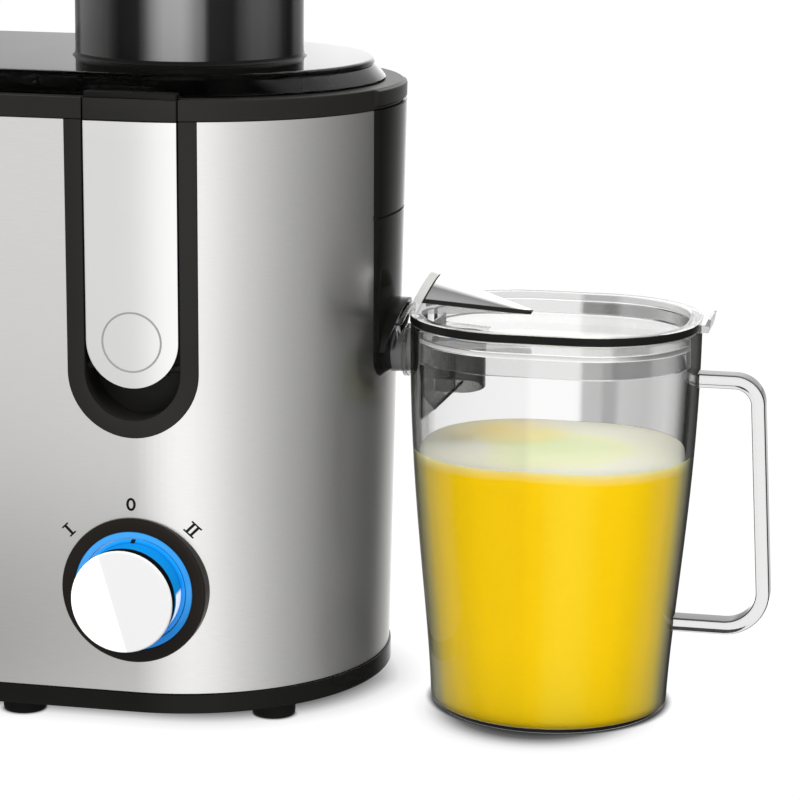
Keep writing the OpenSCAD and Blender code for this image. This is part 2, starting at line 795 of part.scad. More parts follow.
// Solid through a list of rings of ring_n points each, closed at both ends.
module loft(rings) {
    last = len(rings) - 1;
    polyhedron(
        points = [for (r = rings) each r],
        faces = concat(
            [[for (i = [0:ring_n - 1]) i]],
            [for (k = [0:last - 1], i = [0:ring_n - 1], half = [0, 1])
                let (j = (i + 1) % ring_n, lo = k * ring_n, hi = lo + ring_n)
                half == 0 ? [lo + i, hi + i, lo + j] : [lo + j, hi + i, hi + j]],
            [[for (i = [ring_n - 1:-1:0]) last * ring_n + i]]));
}

jug_levels = [0, 12, 26, 42, 60, 80, 104, 128, jug_h];

module jug() {
    floor_t = 3;
    color(c_clear) machine() translate([jug_x, 0, 0]) difference() {
        loft([for (z = jug_levels) jug_ring(z, 0)]);
        loft([for (z = concat([floor_t], [for (k = [1:len(jug_levels) - 2]) jug_levels[k]], [jug_h + 1]))
            jug_ring(z, jug_t)]);
        // slot for the spout
        translate([-70, 0, spout_z]) rotate([0, 90, 0]) cylinder(r = 10.4, h = 40, $fn = 48);
        translate([-70, -10.4, spout_z]) cube([40, 20.8, 30]);
    }
}

handle_top_z = 131.2;
handle_low_z = 31.3;
handle_x = 83.6;                         // outer face of the grip, from the jug's axis

handle_top_r = 11.5;
handle_low_r = 17;
handle_lean = 4.3;                        // how far the grip leans in at its top

module handle_outline(inset) {
    hull() {
        translate([20, handle_low_z + inset]) square([1, handle_top_z - handle_low_z - 2 * inset]);
        translate([handle_x - handle_lean - handle_top_r, handle_top_z - handle_top_r])
            circle(r = handle_top_r - inset, $fn = 64);
        translate([handle_x - handle_low_r, handle_low_z + handle_low_r])
            circle(r = handle_low_r - inset, $fn = 64);
    }
}

module jug_handle() {
    color(c_clear) machine() translate([jug_x, handle_w / 2, 0]) rotate([90, 0, 0]) linear_extrude(handle_w)
        difference() {
            handle_outline(0);
            handle_outline(handle_t);
            polygon([[0, 0], [jug_a(handle_low_z) - 0.6, 0], [jug_a(handle_low_z) - 0.6, handle_low_z],
                [jug_a(handle_top_z) - 0.6, handle_top_z], [jug_a(handle_top_z) - 0.6, 200], [0, 200]]);
        }
}

dish_z = 141.5;                          // underside of the jug lid's floor
skirt_z = 134.6;                         // lower edge of the jug lid's skirt

module froth_separator() {
    x0 = 96.4 - jug_x;
    t = 1.3;
    hw = 12;
    foot_hw = 10;
    low_z = 121;
    back_x = x0 + t + 10;
    top_z = dish_z - gap;
    color(c_smoke) machine() translate([jug_x, 0, 0]) {
        // plate across the jug behind the spout
        intersection() {
            translate([x0, -40, 113.5]) cube([t, 80, skirt_z - gap - 113.5]);
            loft([jug_ring(100, jug_t + 0.1), jug_ring(jug_h, jug_t + 0.1)]);
        }
        translate([x0, -hw, 130]) cube([t, 2 * hw, 147 - 130]);
        // chamber behind the plate
        difference() {
            union() {
                translate([x0 + t - 0.1, -hw, low_z]) cube([10.1, 2 * hw, top_z - low_z]);
                translate([back_x, 0, low_z]) scale([0.62, 1, 1]) cylinder(r = hw, h = top_z - low_z, $fn = 64);
            }
            translate([x0 + t, -hw + t, low_z - 1]) cube([10.1, 2 * (hw - t), 30]);
            translate([back_x, 0, low_z - 1]) scale([0.6, 1, 1]) cylinder(r = hw - t, h = 30, $fn = 64);
        }
        // foot that turns under the spout
        translate([0, foot_hw, 0]) rotate([90, 0, 0]) linear_extrude(2 * foot_hw)
            polygon([[x0 + 9, low_z + 0.2], [x0 + 7.4, low_z + 0.2], [x0 + 1, 114.9], [x0 - 4.8, 112.8],
                [x0 - 4.8, 111.4], [x0 + 1.4, 113.4]]);
    }
}

// ---------------------------------------------------------------- jug lid

lid_rim_z = jug_h + gap;
lid_rim_top_z = 150.9;
hood_r = 18.9;                           // radius of the hood at its mouth
hood_end_r = 3.6;
hood_x = 86 - jug_x;
hood_len = 46.4;
hood_z = 148;                            // height of the hood's axis

module jug_plan(inset, z0, z1) {
    loft([jug_ring_at(jug_h, inset, z0), jug_ring_at(jug_h, inset, z1)]);
}
function jug_ring_at(plan_z, inset, z) =
    [for (i = [0:ring_n - 1])
        ring_point(i, jug_a(plan_z) - inset, jug_b(plan_z) - inset, jug_c(plan_z) - inset, z)];

// Opening in the lid under the hood, where the spout stands in.
module hood_opening() {
    translate([0, 0, 100]) linear_extrude(100)
        polygon([[-70, -15.2], [-50, -15.2], [-26, -6.5], [-26, 6.5], [-50, 15.2], [-70, 15.2]]);
}

// Rim, inner wall and sunk floor of the lid, with a tab by the handle.
module jug_lid() {
    wall = jug_t + 0.6;
    t = 1.5;
    color(c_smoke) machine() translate([jug_x, 0, 0]) {
        difference() {
            union() {
                jug_plan(-0.25, lid_rim_z, lid_rim_top_z);
                jug_plan(wall, dish_z, lid_rim_z + 0.1);
            }
            jug_plan(wall + t, dish_z + t, lid_rim_top_z + 1);
            hood_opening();
        }
        translate([jug_rim_a - 2, -10, lid_rim_z]) cube([6.8, 20, lid_rim_top_z - lid_rim_z]);
        translate([jug_rim_a + 3.6, -10, lid_rim_top_z - 1]) cube([1.2, 20, 3.2]);
    }
}

// Wall below the lid's floor that centres it in the jug.
module jug_lid_skirt() {
    wall = jug_t + 0.6;
    color(c_smoke) machine() translate([jug_x, 0, 0]) difference() {
        jug_plan(wall, skirt_z, dish_z);
        jug_plan(wall + 1.5, skirt_z - 1, dish_z + 1);
        hood_opening();
    }
}

// Cone that lies along the lid over the spout, open at its wide mouth.
module hood_cone() {
    wall = 1.5;
    inner_end_r = hood_end_r - wall + wall * (hood_r - hood_end_r) / hood_len;
    translate([hood_x, 0, hood_z]) rotate([0, 90, 0]) rotate_extrude($fn = 96)
        polygon([[hood_r - wall, 0], [hood_r, 0], [hood_end_r, hood_len], [0, hood_len],
            [0, hood_len - wall], [inner_end_r, hood_len - wall]]);
}

module jug_hood() {
    color(c_smoke) machine() translate([jug_x, 0, 0]) difference() {
        hood_cone();
        translate([-80, -40, 100]) cube([80, 80, lid_rim_top_z + 0.05 - 100]);
        // slanted mouth
        translate([0, far / 2, 0]) rotate([90, 0, 0]) linear_extrude(far)
            polygon([[hood_x - 5, 146], [hood_x, 146], [hood_x + 8, 164.4], [hood_x + 8, 180],
                [hood_x - 5, 180]]);
    }
}

base_tray();
rubber_feet();
base_screws();
inner_housing();
steel_wrap();
collar();
front_latch_guide();
rear_latch_guide();
front_latch_pin();
rear_latch_pin();
spout_panel();
dial_bezel();
light_ring();
rotary_switch();
control_board();
lid_switch();
cord_inlet();
lower_bracket();
upper_bracket();
stator();
stator_windings();
carbon_brushes();
motor_dampers();
juice_bowl();
bowl_seal();
juice_spout();
spout_ring();
spout_visor();
motor_shaft();
rotor_core();
commutator();
cooling_fan();
drive_coupling();
filter_basket();
basket_rim();
grater_disc();
dial_knob();
dial_face();
dial_flange();
front_latch_arm();
front_latch_plate();
rear_latch_arm();
rear_latch_plate();
lid();
lid_skirt();
lid_ring();
feed_chute();
pusher();
pusher_cap();
pulp_bin();
jug();
jug_handle();
froth_separator();
jug_lid();
jug_lid_skirt();
jug_hood();
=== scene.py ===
import math

import bmesh
import bpy
from mathutils import Euler, Matrix, Vector


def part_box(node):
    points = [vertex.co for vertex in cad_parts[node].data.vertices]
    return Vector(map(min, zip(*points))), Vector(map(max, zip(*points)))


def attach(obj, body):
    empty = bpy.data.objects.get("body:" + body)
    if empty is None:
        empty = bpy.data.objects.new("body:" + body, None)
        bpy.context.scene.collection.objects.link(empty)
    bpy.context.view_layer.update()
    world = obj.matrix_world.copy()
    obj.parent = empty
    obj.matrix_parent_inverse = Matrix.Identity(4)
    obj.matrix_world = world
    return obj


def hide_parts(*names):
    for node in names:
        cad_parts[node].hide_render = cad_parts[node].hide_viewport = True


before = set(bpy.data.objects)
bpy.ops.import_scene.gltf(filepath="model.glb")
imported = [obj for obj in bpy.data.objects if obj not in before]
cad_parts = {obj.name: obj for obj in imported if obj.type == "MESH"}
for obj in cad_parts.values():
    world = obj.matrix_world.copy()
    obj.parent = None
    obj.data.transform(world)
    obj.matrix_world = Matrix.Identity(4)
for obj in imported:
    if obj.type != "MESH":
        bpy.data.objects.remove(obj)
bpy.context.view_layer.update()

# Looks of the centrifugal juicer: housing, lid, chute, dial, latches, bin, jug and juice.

# ------------------------------------------------------------------ sizes
# Millimetres from the motor's axis: +X to the jug, -Y to the dial, +Z up from the table.

MM = 0.001
MERGE = 0.002 * MM        # points this close become one
FAR_ABOVE = 300           # higher than everything that is cut
shaft_low, shaft_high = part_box("motor_shaft")
AXIS = Vector(((shaft_low.x + shaft_high.x) / 2, (shaft_low.y + shaft_high.y) / 2, 0))

ARC_STEPS = 96            # steps in a half turn of the housing
HOUSING_R = 77.45
HOUSING_DRAFT = 0.0157
HOUSING_LEFT = -76
NEARLY_STRAIGHT = 1.55    # half a corner's angle in radians, above which it isn't rounded
STEEL_Z0, STEEL_Z1 = 15.7, 227.4
COLLAR_Z0, COLLAR_Z1 = 227.6, 235.2
LATCH_HW = 16.9
LATCH_PIN = (74.9, 138)
LATCH_END_Z = 147.6
LATCH_TOP_Z = 227.1
GUIDE_HW = 24.0
GUIDE_INNER_HW = 17.5
GUIDE_END_Z = 136.2
RECESS_TOP = 141.6
DIAL_Z = 55.1
KNOB_FACE = 95.1
LID_Z0, LID_UNDER, LID_Z1 = 235.5, 240.9, 243.2
CHUTE_R = 43
CHUTE_TOP = 352
BIN_X = -110
SPOUT_Z = 134
PANEL_LOW, PANEL_SEAM = 126, 187
JUG_X = 142
JUG_RIM_Z = 147.4
JUG_LID_Z = 150.9
JUG_WALL = 2.4
JUICE_Z = 100
JUG_BASE_R, JUG_A, JUG_B, JUG_C = 45.2, 54.1, 46.4, 41.6


def at(x, y, z):
    """A point given from the motor's axis in millimetres, in the frame's metres."""
    return AXIS + Vector((x, y, z)) * MM


def rad(z):
    """Radius of the housing at height z."""
    return HOUSING_R + (z - STEEL_Z0) * HOUSING_DRAFT


# ------------------------------------------------------------------ mesh helpers

def arc(cx, cy, r, start, end, steps):
    """Points along an arc, both ends included."""
    angles = [math.radians(start + (end - start) * i / steps) for i in range(steps + 1)]
    return [(cx + r * math.cos(a), cy + r * math.sin(a)) for a in angles]


def circle(cx, cy, r, steps):
    """Points round a whole circle."""
    return arc(cx, cy, r, 0, 360, steps)[:-1]


def fillet(corners, radius, steps=4):
    """A closed outline with its corners rounded, by one radius or by one for each corner."""
    radii = radius if isinstance(radius, (list, tuple)) else [radius] * len(corners)
    out = []
    for i, corner in enumerate(corners):
        here = Vector(corner)
        back = Vector(corners[i - 1]) - here
        forward = Vector(corners[(i + 1) % len(corners)]) - here
        half = back.angle(forward) / 2
        if radii[i] <= 0 or half > NEARLY_STRAIGHT:
            out.append(tuple(here))
            continue
        reach = min(radii[i] / math.tan(half), back.length * 0.48, forward.length * 0.48)
        first, last = here + back.normalized() * reach, here + forward.normalized() * reach
        for k in range(steps + 1):
            t = k / steps
            out.append(tuple((1 - t) ** 2 * first + 2 * t * (1 - t) * here + t * t * last))
    return out


def link_loops(loops, closed_loop=True, closed_profile=True):
    """Quads between loops of equal length. Returns points and faces."""
    n = len(loops[0])
    points = [p for loop in loops for p in loop]
    rows = len(loops) if closed_profile else len(loops) - 1
    cols = n if closed_loop else n - 1
    faces = []
    for i in range(rows):
        a, b = i * n, (i + 1) % len(loops) * n
        for j in range(cols):
            k = (j + 1) % n
            faces.append((a + j, a + k, b + k, b + j))
    return points, faces


def capped(loops, first=True):
    """Loops joined in a row, with flat ends; first says whether the first end is closed too."""
    points, faces = link_loops(loops, True, False)
    n = len(loops[0])
    if first:
        faces.append(tuple(reversed(range(n))))
    faces.append(tuple(range(len(points) - n, len(points))))
    return points, faces


def build(name, parts, material, turn_out=True):
    """One mesh object from (points, faces) parts in millimetres; its faces look outwards."""
    points, faces = [], []
    for part_points, part_faces in parts:
        start = len(points)
        points += part_points
        faces += [tuple(start + i for i in face) for face in part_faces]
    mesh = bpy.data.meshes.new(name)
    mesh.from_pydata([at(*p) for p in points], [], faces)
    work = bmesh.new()
    work.from_mesh(mesh)
    bmesh.ops.remove_doubles(work, verts=work.verts, dist=MERGE)
    bmesh.ops.dissolve_degenerate(work, edges=work.edges, dist=MERGE)
    if turn_out:
        bmesh.ops.recalc_face_normals(work, faces=work.faces)
    work.to_mesh(mesh)
    work.free()
    piece = bpy.data.objects.new(name, mesh)
    bpy.context.scene.collection.objects.link(piece)
    mesh.materials.append(material)
    return piece


def apply_modifiers(piece):
    """The piece with its modifiers made permanent."""
    bpy.context.view_layer.update()
    evaluated = piece.evaluated_get(bpy.context.evaluated_depsgraph_get())
    mesh = bpy.data.meshes.new_from_object(evaluated)
    old = piece.data
    piece.modifiers.clear()
    piece.data = mesh
    bpy.data.meshes.remove(old)
    mesh.name = piece.name
    return piece


def shade(piece, angle=34, weighted=True):
    """Smooth shading that stays crisp at sharp edges and flat on large faces."""
    piece.data.shade_smooth()
    piece.data.set_sharp_from_angle(angle=math.radians(angle))
    if weighted:
        modifier = piece.modifiers.new("flat faces", "WEIGHTED_NORMAL")
        modifier.keep_sharp = True
        modifier.weight = 60
        apply_modifiers(piece)
    return piece


def cut(piece, *cutters):
    """Takes the cutters' volume away from the piece and deletes them."""
    for cutter in cutters:
        modifier = piece.modifiers.new("cut", "BOOLEAN")
        modifier.operation = "DIFFERENCE"
        modifier.solver = "EXACT"
        modifier.object = cutter
        apply_modifiers(piece)
        bpy.data.objects.remove(cutter)
    return piece


def bevel(piece, width, steps=2, angle=40):
    """Rounds the piece's sharp edges."""
    modifier = piece.modifiers.new("edges", "BEVEL")
    modifier.width = width * MM
    modifier.segments = steps
    modifier.limit_method = "ANGLE"
    modifier.angle_limit = math.radians(angle)
    modifier.harden_normals = False
    return apply_modifiers(piece)


def thicken(piece, thickness, side=-1):
    """Gives a sheet its wall, to the inside by default."""
    modifier = piece.modifiers.new("wall", "SOLIDIFY")
    modifier.thickness = thickness * MM
    modifier.offset = side
    modifier.use_even_offset = True
    return apply_modifiers(piece)


def join(name, *pieces):
    """One object from several, keeping each face's material."""
    work = bmesh.new()
    materials = []
    for piece in pieces:
        slots = []
        for material in piece.data.materials:
            if material not in materials:
                materials.append(material)
            slots.append(materials.index(material))
        first = len(work.faces)
        work.from_mesh(piece.data)
        work.faces.ensure_lookup_table()
        for face in work.faces[first:]:
            face.material_index = slots[min(face.material_index, len(slots) - 1)]
    mesh = bpy.data.meshes.new(name)
    work.to_mesh(mesh)
    work.free()
    for piece in pieces:
        bpy.data.objects.remove(piece)
    whole = bpy.data.objects.new(name, mesh)
    bpy.context.scene.collection.objects.link(whole)
    for material in materials:
        mesh.materials.append(material)
    return whole


def paint(piece, material, chosen):
    """Gives another material to the faces whose centre, in millimetres, and normal are chosen."""
    piece.data.materials.append(material)
    index = len(piece.data.materials) - 1
    for polygon in piece.data.polygons:
        if chosen((polygon.center - AXIS) / MM, polygon.normal):
            polygon.material_index = index


def wear(piece, body, *nodes, slot=None):
    """Puts a finished piece on its body, in place of its CAD nodes."""
    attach(piece, body)
    if nodes:
        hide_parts(*nodes)
    return piece


def lathe_z(profile, steps=128, closed=True, cx=0, cy=0):
    """A profile of (radius, height) turned about a vertical axis."""
    loops = [[(x, y, z) for x, y in circle(cx, cy, r, steps)] for r, z in profile]
    return link_loops(loops, True, closed)


def lathe_y(profile):
    """A profile of (radius, distance in front of the motor's axis) turned about the dial's axis."""
    return link_loops([[(x, -out, DIAL_Z + up) for x, up in circle(0, 0, r, 128)] for r, out in profile])


def lathe_x(profile):
    """A profile of (radius, x) turned about the spout's axis."""
    return link_loops([[(x, side, SPOUT_Z + up) for up, side in circle(0, 0, r, 64)] for r, x in profile])


def housing_plan(r, left=HOUSING_LEFT):
    """Plan of the housing: half round on the right, flat wall on the left."""
    return [(left, -r)] + arc(0, 0, r, -90, 90, ARC_STEPS) + [(left, r)]


def bin_plan(r, right):
    """Plan of the pulp bin: half round on the left, flat wall on the right."""
    return [(right, r)] + arc(BIN_X, 0, r, 90, 270, ARC_STEPS) + [(right, -r)]


def stadium_plan(r):
    """Plan of the lid: round over the motor and over the pulp bin."""
    return arc(0, 0, r, -90, 90, ARC_STEPS) + arc(BIN_X, 0, r, 90, 270, ARC_STEPS)


def sweep_plan(profile, plan, closed_loop=True, closed_profile=True):
    """Sweeps a profile of (radius, height, plan's further numbers) round a plan."""
    loops = [[(x, y, z) for x, y in plan(r, *more)] for r, z, *more in profile]
    points, faces = link_loops(loops, closed_loop, closed_profile)
    if not closed_loop:
        n = len(loops[0])
        starts = [i * n for i in range(len(loops))]
        faces += [tuple(starts), tuple(i + n - 1 for i in reversed(starts))]
    return points, faces


def solid(outline, low, high, place):
    """A capped prism; place turns (u, v, height) into a point."""
    n = len(outline)
    points = [place(u, v, low) for u, v in outline] + [place(u, v, high) for u, v in outline]
    faces = [(i, (i + 1) % n, n + (i + 1) % n, n + i) for i in range(n)]
    faces += [tuple(reversed(range(n))), tuple(range(n, 2 * n))]
    return points, faces


def along_y(u, v, w):
    return (u, w, v)


def along_x(u, v, w):
    return (w, u, v)


def along_z(u, v, w):
    return (u, v, w)


def front_surface(x, z, depth, side=-1):
    """The point of the housing's front (side -1) or rear (side 1) at x and z, sunk by depth."""
    r = rad(z) - depth
    y = r if x <= 0 else math.sqrt(max(r * r - x * x, 0))
    return (x, side * y, z)


def right_surface(y, z, depth):
    """The point of the housing's round right end at y and z, sunk by depth."""
    r = rad(z) - depth
    return (math.sqrt(max(r * r - y * y, 0)), y, z)


def u_path(half_w):
    """A U down from the guide's top, round its end and up again."""
    leg_steps = 12
    leg = [(-half_w, STEEL_Z1 + (GUIDE_END_Z - STEEL_Z1) * i / leg_steps) for i in range(leg_steps)]
    bend = arc(0, GUIDE_END_Z, half_w, 180, 360, 40)
    return leg + bend + [(-x, z) for x, z in reversed(leg)]


def grid(rows, place):
    """A sheet from rows of (u, v, depth) of equal length."""
    return link_loops([[place(*p) for p in row] for row in rows], False, False)


# ------------------------------------------------------------------ shader helpers

def add(tree, kind, links=None, **values):
    """Adds a node, sets its attributes, and links or sets its inputs."""
    made = tree.nodes.new(kind)
    for key, value in values.items():
        setattr(made, key, value)
    for key, value in (links or {}).items():
        socket = made.inputs[key]
        if isinstance(value, bpy.types.NodeSocket):
            tree.links.new(value, socket)
        else:
            socket.default_value = value
    return made


def calc(tree, operation, *values, clamp=False):
    """What a Math node gives."""
    links = dict(enumerate(values))
    return add(tree, "ShaderNodeMath", links, operation=operation, use_clamp=clamp).outputs[0]


def calc_vector(tree, operation, *values):
    """What a Vector Math node gives: a number for lengths and dot products, otherwise a vector."""
    made = add(tree, "ShaderNodeVectorMath", dict(enumerate(values)), operation=operation)
    return made.outputs["Value" if operation in ("LENGTH", "DISTANCE", "DOT_PRODUCT") else "Vector"]


def span(tree, value, low, high, to_low=0.0, to_high=1.0):
    """The range low to high carried over to 0 to 1, or to the range given, and held at its ends."""
    links = {"Value": value, "From Min": low, "From Max": high, "To Min": to_low, "To Max": to_high}
    return add(tree, "ShaderNodeMapRange", links).outputs["Result"]


def blend(tree, factor, first, second, blend_type="MIX"):
    """Two colours mixed."""
    links = {"Factor": factor, "A": first, "B": second}
    return add(tree, "ShaderNodeMix", links, data_type="RGBA", blend_type=blend_type).outputs["Result"]


def split(tree, vector):
    """The outputs X, Y and Z of a vector."""
    return add(tree, "ShaderNodeSeparateXYZ", {"Vector": vector}).outputs


def noise(tree, coords, scale, detail=2.0):
    links = {"Vector": coords, "Scale": scale, "Detail": detail}
    return add(tree, "ShaderNodeTexNoise", links).outputs["Fac"]


def relief(tree, height, strength, distance):
    links = {"Height": height, "Strength": strength, "Distance": distance}
    return add(tree, "ShaderNodeBump", links).outputs["Normal"]


def ramp(tree, factor, stops):
    """A colour ramp from (place, colour or grey) stops."""
    made = tree.nodes.new("ShaderNodeValToRGB")
    elements = made.color_ramp.elements
    for i, (place, colour) in enumerate(stops):
        element = elements[i] if i < 2 else elements.new(place)
        element.position = place
        grey = (colour,) * 3 if isinstance(colour, (int, float)) else colour
        element.color = (*grey, 1)
    tree.links.new(factor, made.inputs["Fac"])
    return made.outputs["Color"]


def object_coords(tree):
    return add(tree, "ShaderNodeTexCoord").outputs["Object"]


def surface_normal(tree):
    return add(tree, "ShaderNodeNewGeometry").outputs["Normal"]


def away_from(tree, coords, *place):
    """The way to the surface from a place in millimetres."""
    return calc_vector(tree, "SUBTRACT", coords, tuple(at(*place)))


def direction_share(tree, vector):
    """0 to 1 round the vertical axis, 0.5 towards -Y and 0.75 towards +X; and the vector's Z."""
    x, y, z = split(tree, vector)
    turned = span(tree, calc(tree, "ARCTAN2", x, y), math.pi, -math.pi)
    return calc(tree, "FRACT", calc(tree, "ADD", turned, 0.5)), z


def mirrored_only(tree):
    """1 where a surface is seen as a mirror image and 0 where it is seen straight or through plastic;
    and 1 where it is seen through plastic."""
    path = add(tree, "ShaderNodeLightPath")
    through = path.outputs["Is Transmission Ray"]
    return calc(tree, "SUBTRACT", path.outputs["Is Glossy Ray"], through, clamp=True), through


# ------------------------------------------------------------------ shared surface effects

def effect_group(name, inputs, outputs):
    """An empty shader node group with named float inputs and outputs."""
    group = bpy.data.node_groups.new(name, "ShaderNodeTree")
    for socket, value in inputs.items():
        made = group.interface.new_socket(socket, in_out="INPUT", socket_type="NodeSocketFloat")
        made.default_value = value
    for socket in outputs:
        group.interface.new_socket(socket, in_out="OUTPUT", socket_type="NodeSocketFloat")
    return group, group.nodes.new("NodeGroupInput").outputs, group.nodes.new("NodeGroupOutput").inputs


def moulded_skin_group():
    """Fine unevenness of a moulded or satin surface: a height and a roughness drift."""
    group, given, result = effect_group(
        "moulded_skin", {"Grain Scale": 900.0, "Drift Scale": 25.0, "Base": 0.3, "Drift": 0.06},
        ("Height", "Roughness"))
    coords = object_coords(group)
    centred = calc(group, "SUBTRACT", noise(group, coords, given["Drift Scale"], 3.0), 0.5)
    drift = calc(group, "MULTIPLY", centred, given["Drift"])
    group.links.new(noise(group, coords, given["Grain Scale"]), result["Height"])
    group.links.new(calc(group, "ADD", drift, given["Base"]), result["Roughness"])
    return group


def brush_lines_group():
    """Fine horizontal brush lines round the housing: a height and a mask."""
    group, given, result = effect_group(
        "brush_lines", {"Fineness": 2400.0, "Length": 14.0}, ("Height", "Mask"))
    coords = object_coords(group)
    x, y, z = split(group, coords)
    turn = calc(group, "MULTIPLY", calc(group, "ARCTAN2", x, y), given["Length"])
    rise = calc(group, "MULTIPLY", z, given["Fineness"])
    packed = add(group, "ShaderNodeCombineXYZ", {"X": turn, "Y": rise}).outputs[0]
    lines = noise(group, packed, 1.0)
    patches = noise(group, coords, 9.0)
    group.links.new(lines, result["Height"])
    group.links.new(calc(group, "MULTIPLY", lines, patches), result["Mask"])
    return group


def dust_group():
    """A faint mask of dust on faces that look up."""
    group, given, result = effect_group("fine_dust", {"Amount": 0.1, "Scale": 120.0}, ("Mask",))
    specks = noise(group, object_coords(group), given["Scale"], 4.0)
    lifted = calc(group, "MULTIPLY", split(group, surface_normal(group))["Z"], specks, clamp=True)
    group.links.new(calc(group, "MULTIPLY", lifted, given["Amount"], clamp=True), result["Mask"])
    return group


SKIN = moulded_skin_group()
BRUSH = brush_lines_group()
DUST = dust_group()


def use_group(tree, group, **values):
    """The outputs of a shared effect; underscores stand for the spaces in its inputs' names."""
    made = tree.nodes.new("ShaderNodeGroup")
    made.node_tree = group
    for key, value in values.items():
        made.inputs[key.replace("_", " ")].default_value = value
    return made.outputs


def satin(tree, base, drift=0.06):
    """A roughness that drifts a little round its base."""
    return use_group(tree, SKIN, Base=base, Drift=drift)["Roughness"]


# ------------------------------------------------------------------ materials

DUST_GREY = (0.5, 0.5, 0.48, 1)
DEEP_SHADE = (0.02, 0.02, 0.018, 1)
MIRRORED_SHADE = (0.006, 0.006, 0.005, 1)
PLASTIC_RELIEF = 0.0002
METAL_RELIEF = 0.0001

HOOD_FOOT = (86.3, 147.2)         # X and Z of the foot of the hood's mouth
HOOD_SLANT = 0.45                 # how far the mouth leans out for each millimetre up
# Painted highlight along the hood's ridge, greyer down its sides: (share of the turn round its axis, grey).
HOOD_RIDGE_HIGHLIGHT = [(0.0, 0.2), (0.425, 0.22), (0.45, 0.62), (0.48, 0.82), (0.61, 0.82), (0.655, 0.45),
              (0.70, 0.12), (0.78, 0.19), (0.88, 0.24), (1.0, 0.28)]
HOOD_LIP_GREY = (0.36, 0.36, 0.35, 1)
HOOD_LINE_SHADE = (0.012, 0.012, 0.011, 1)

# Painted light on the knob's skirt: blue light on its rear, and a white highlight arc facing right and a
# little down.
KNOB_FRONT_BLACK, KNOB_REAR_BLUE_LIGHT = (0.003, 0.003, 0.003), (0.004, 0.16, 0.43)
KNOB_HIGHLIGHT_WHITE = (0.85, 0.85, 0.85, 1)
KNOB_HIGHLIGHT_SIDE = (0.95, 0, -0.31)  # right and a little down


def new_material(name):
    """An empty material, its node tree and its object coordinates."""
    material = bpy.data.materials.new(name)
    material.use_nodes = True
    tree = material.node_tree
    tree.nodes.clear()
    return material, tree, object_coords(tree)


def principled(tree, **inputs):
    """A Principled shader; underscores stand for the spaces in its inputs' names."""
    links = {key.replace("_", " "): value for key, value in inputs.items()}
    return add(tree, "ShaderNodeBsdfPrincipled", links).outputs["BSDF"]


def mix_shaders(tree, factor, first, second):
    return add(tree, "ShaderNodeMixShader", {0: factor, 1: first, 2: second}).outputs["Shader"]


def finish_shader(tree, shader, volume=None):
    out = add(tree, "ShaderNodeOutputMaterial", {"Surface": shader})
    if volume is not None:
        tree.links.new(volume, out.inputs["Volume"])


def hide_in_mirrors(tree, shader):
    """The shader, left out of what glossy surfaces mirror."""
    nothing = add(tree, "ShaderNodeBsdfTransparent").outputs["BSDF"]
    return mix_shaders(tree, mirrored_only(tree)[0], shader, nothing)


def plastic(name, colour, shade_to, base=0.3, drift=0.08, grain=900.0, bump=0.02, dust=0.02, shine=0.5):
    """Moulded plastic: colour drifts a little, skin is finely uneven, dust lies on top."""
    material, tree, coords = new_material(name)
    skin = use_group(tree, SKIN, Grain_Scale=grain, Base=base, Drift=drift)
    tone = ramp(tree, noise(tree, coords, 18.0), [(0.3, colour), (0.7, shade_to)])
    dusty = blend(tree, use_group(tree, DUST, Amount=dust)["Mask"], tone, DUST_GREY)
    normal = relief(tree, skin["Height"], bump, PLASTIC_RELIEF)
    finish_shader(tree, principled(tree, Base_Color=dusty, Roughness=skin["Roughness"], Normal=normal,
                                   Specular_IOR_Level=shine))
    return material


def metal(name, colour, shade_to, base=0.3, drift=0.08, brushed=0.0, bump=0.03):
    """Metal with a drifting tone; brushed above 0 adds fine lines round it."""
    material, tree, coords = new_material(name)
    skin = use_group(tree, SKIN, Grain_Scale=1500.0, Base=base, Drift=drift)
    if brushed:
        lines = use_group(tree, BRUSH)
        factor, height = lines["Mask"], lines["Height"]
    else:
        factor, height = noise(tree, coords, 12.0, 3.0), skin["Height"]
    tone = ramp(tree, factor, [(0.1, shade_to), (0.55, colour)])
    normal = relief(tree, height, brushed or bump, METAL_RELIEF)
    finish_shader(tree, principled(tree, Base_Color=tone, Metallic=1.0, Roughness=skin["Roughness"],
                                   Normal=normal))
    return material


def clear_plastic(name, tint, density, roughness=0.02, glare=1.0, mirrored=True, cloudy=0.0, milk=0.25,
                  edge=0.0, bands=None, haze=0.0):
    """See-through plastic that darkens with the way through it, by tint and density per metre.

    edge mixes in painted shade where the surface is seen at a slant; bands are painted shade, as (share round
    the jug's axis, darkness)."""
    material, tree, coords = new_material(name)
    clear = milk if cloudy else 1.0
    tone = ramp(tree, noise(tree, coords, 10.0), [(0.3, clear), (0.7, clear * 0.985)])
    surface = principled(tree, Base_Color=tone, Roughness=satin(tree, roughness, 0.02), IOR=1.47,
                         Transmission_Weight=1.0 - cloudy, Specular_Tint=(glare, glare, glare, 1))
    fog = add(tree, "ShaderNodeVolumeAbsorption", {"Color": (*tint, 1), "Density": density})
    if bands or edge:
        dark = add(tree, "ShaderNodeBsdfDiffuse", {"Color": DEEP_SHADE}).outputs["BSDF"]
    if bands:
        share, _ = direction_share(tree, away_from(tree, coords, JUG_X, 0, 0))
        rise = calc(tree, "ABSOLUTE", split(tree, surface_normal(tree))["Z"])
        upright = span(tree, rise, 0.3, 0.8, 1.0, 0.0)
        amount = calc(tree, "MULTIPLY_ADD", ramp(tree, share, bands), upright, haze)
        surface = mix_shaders(tree, amount, surface, dark)
    if edge:
        facing = add(tree, "ShaderNodeLayerWeight", {"Blend": 0.5}).outputs["Facing"]
        rim = ramp(tree, facing, [(0.54, 0.0), (0.70, edge * 0.35), (0.84, edge)])
        surface = mix_shaders(tree, rim, surface, dark)
    if not mirrored:
        surface = hide_in_mirrors(tree, surface)
    finish_shader(tree, surface, fog.outputs["Volume"])
    return material


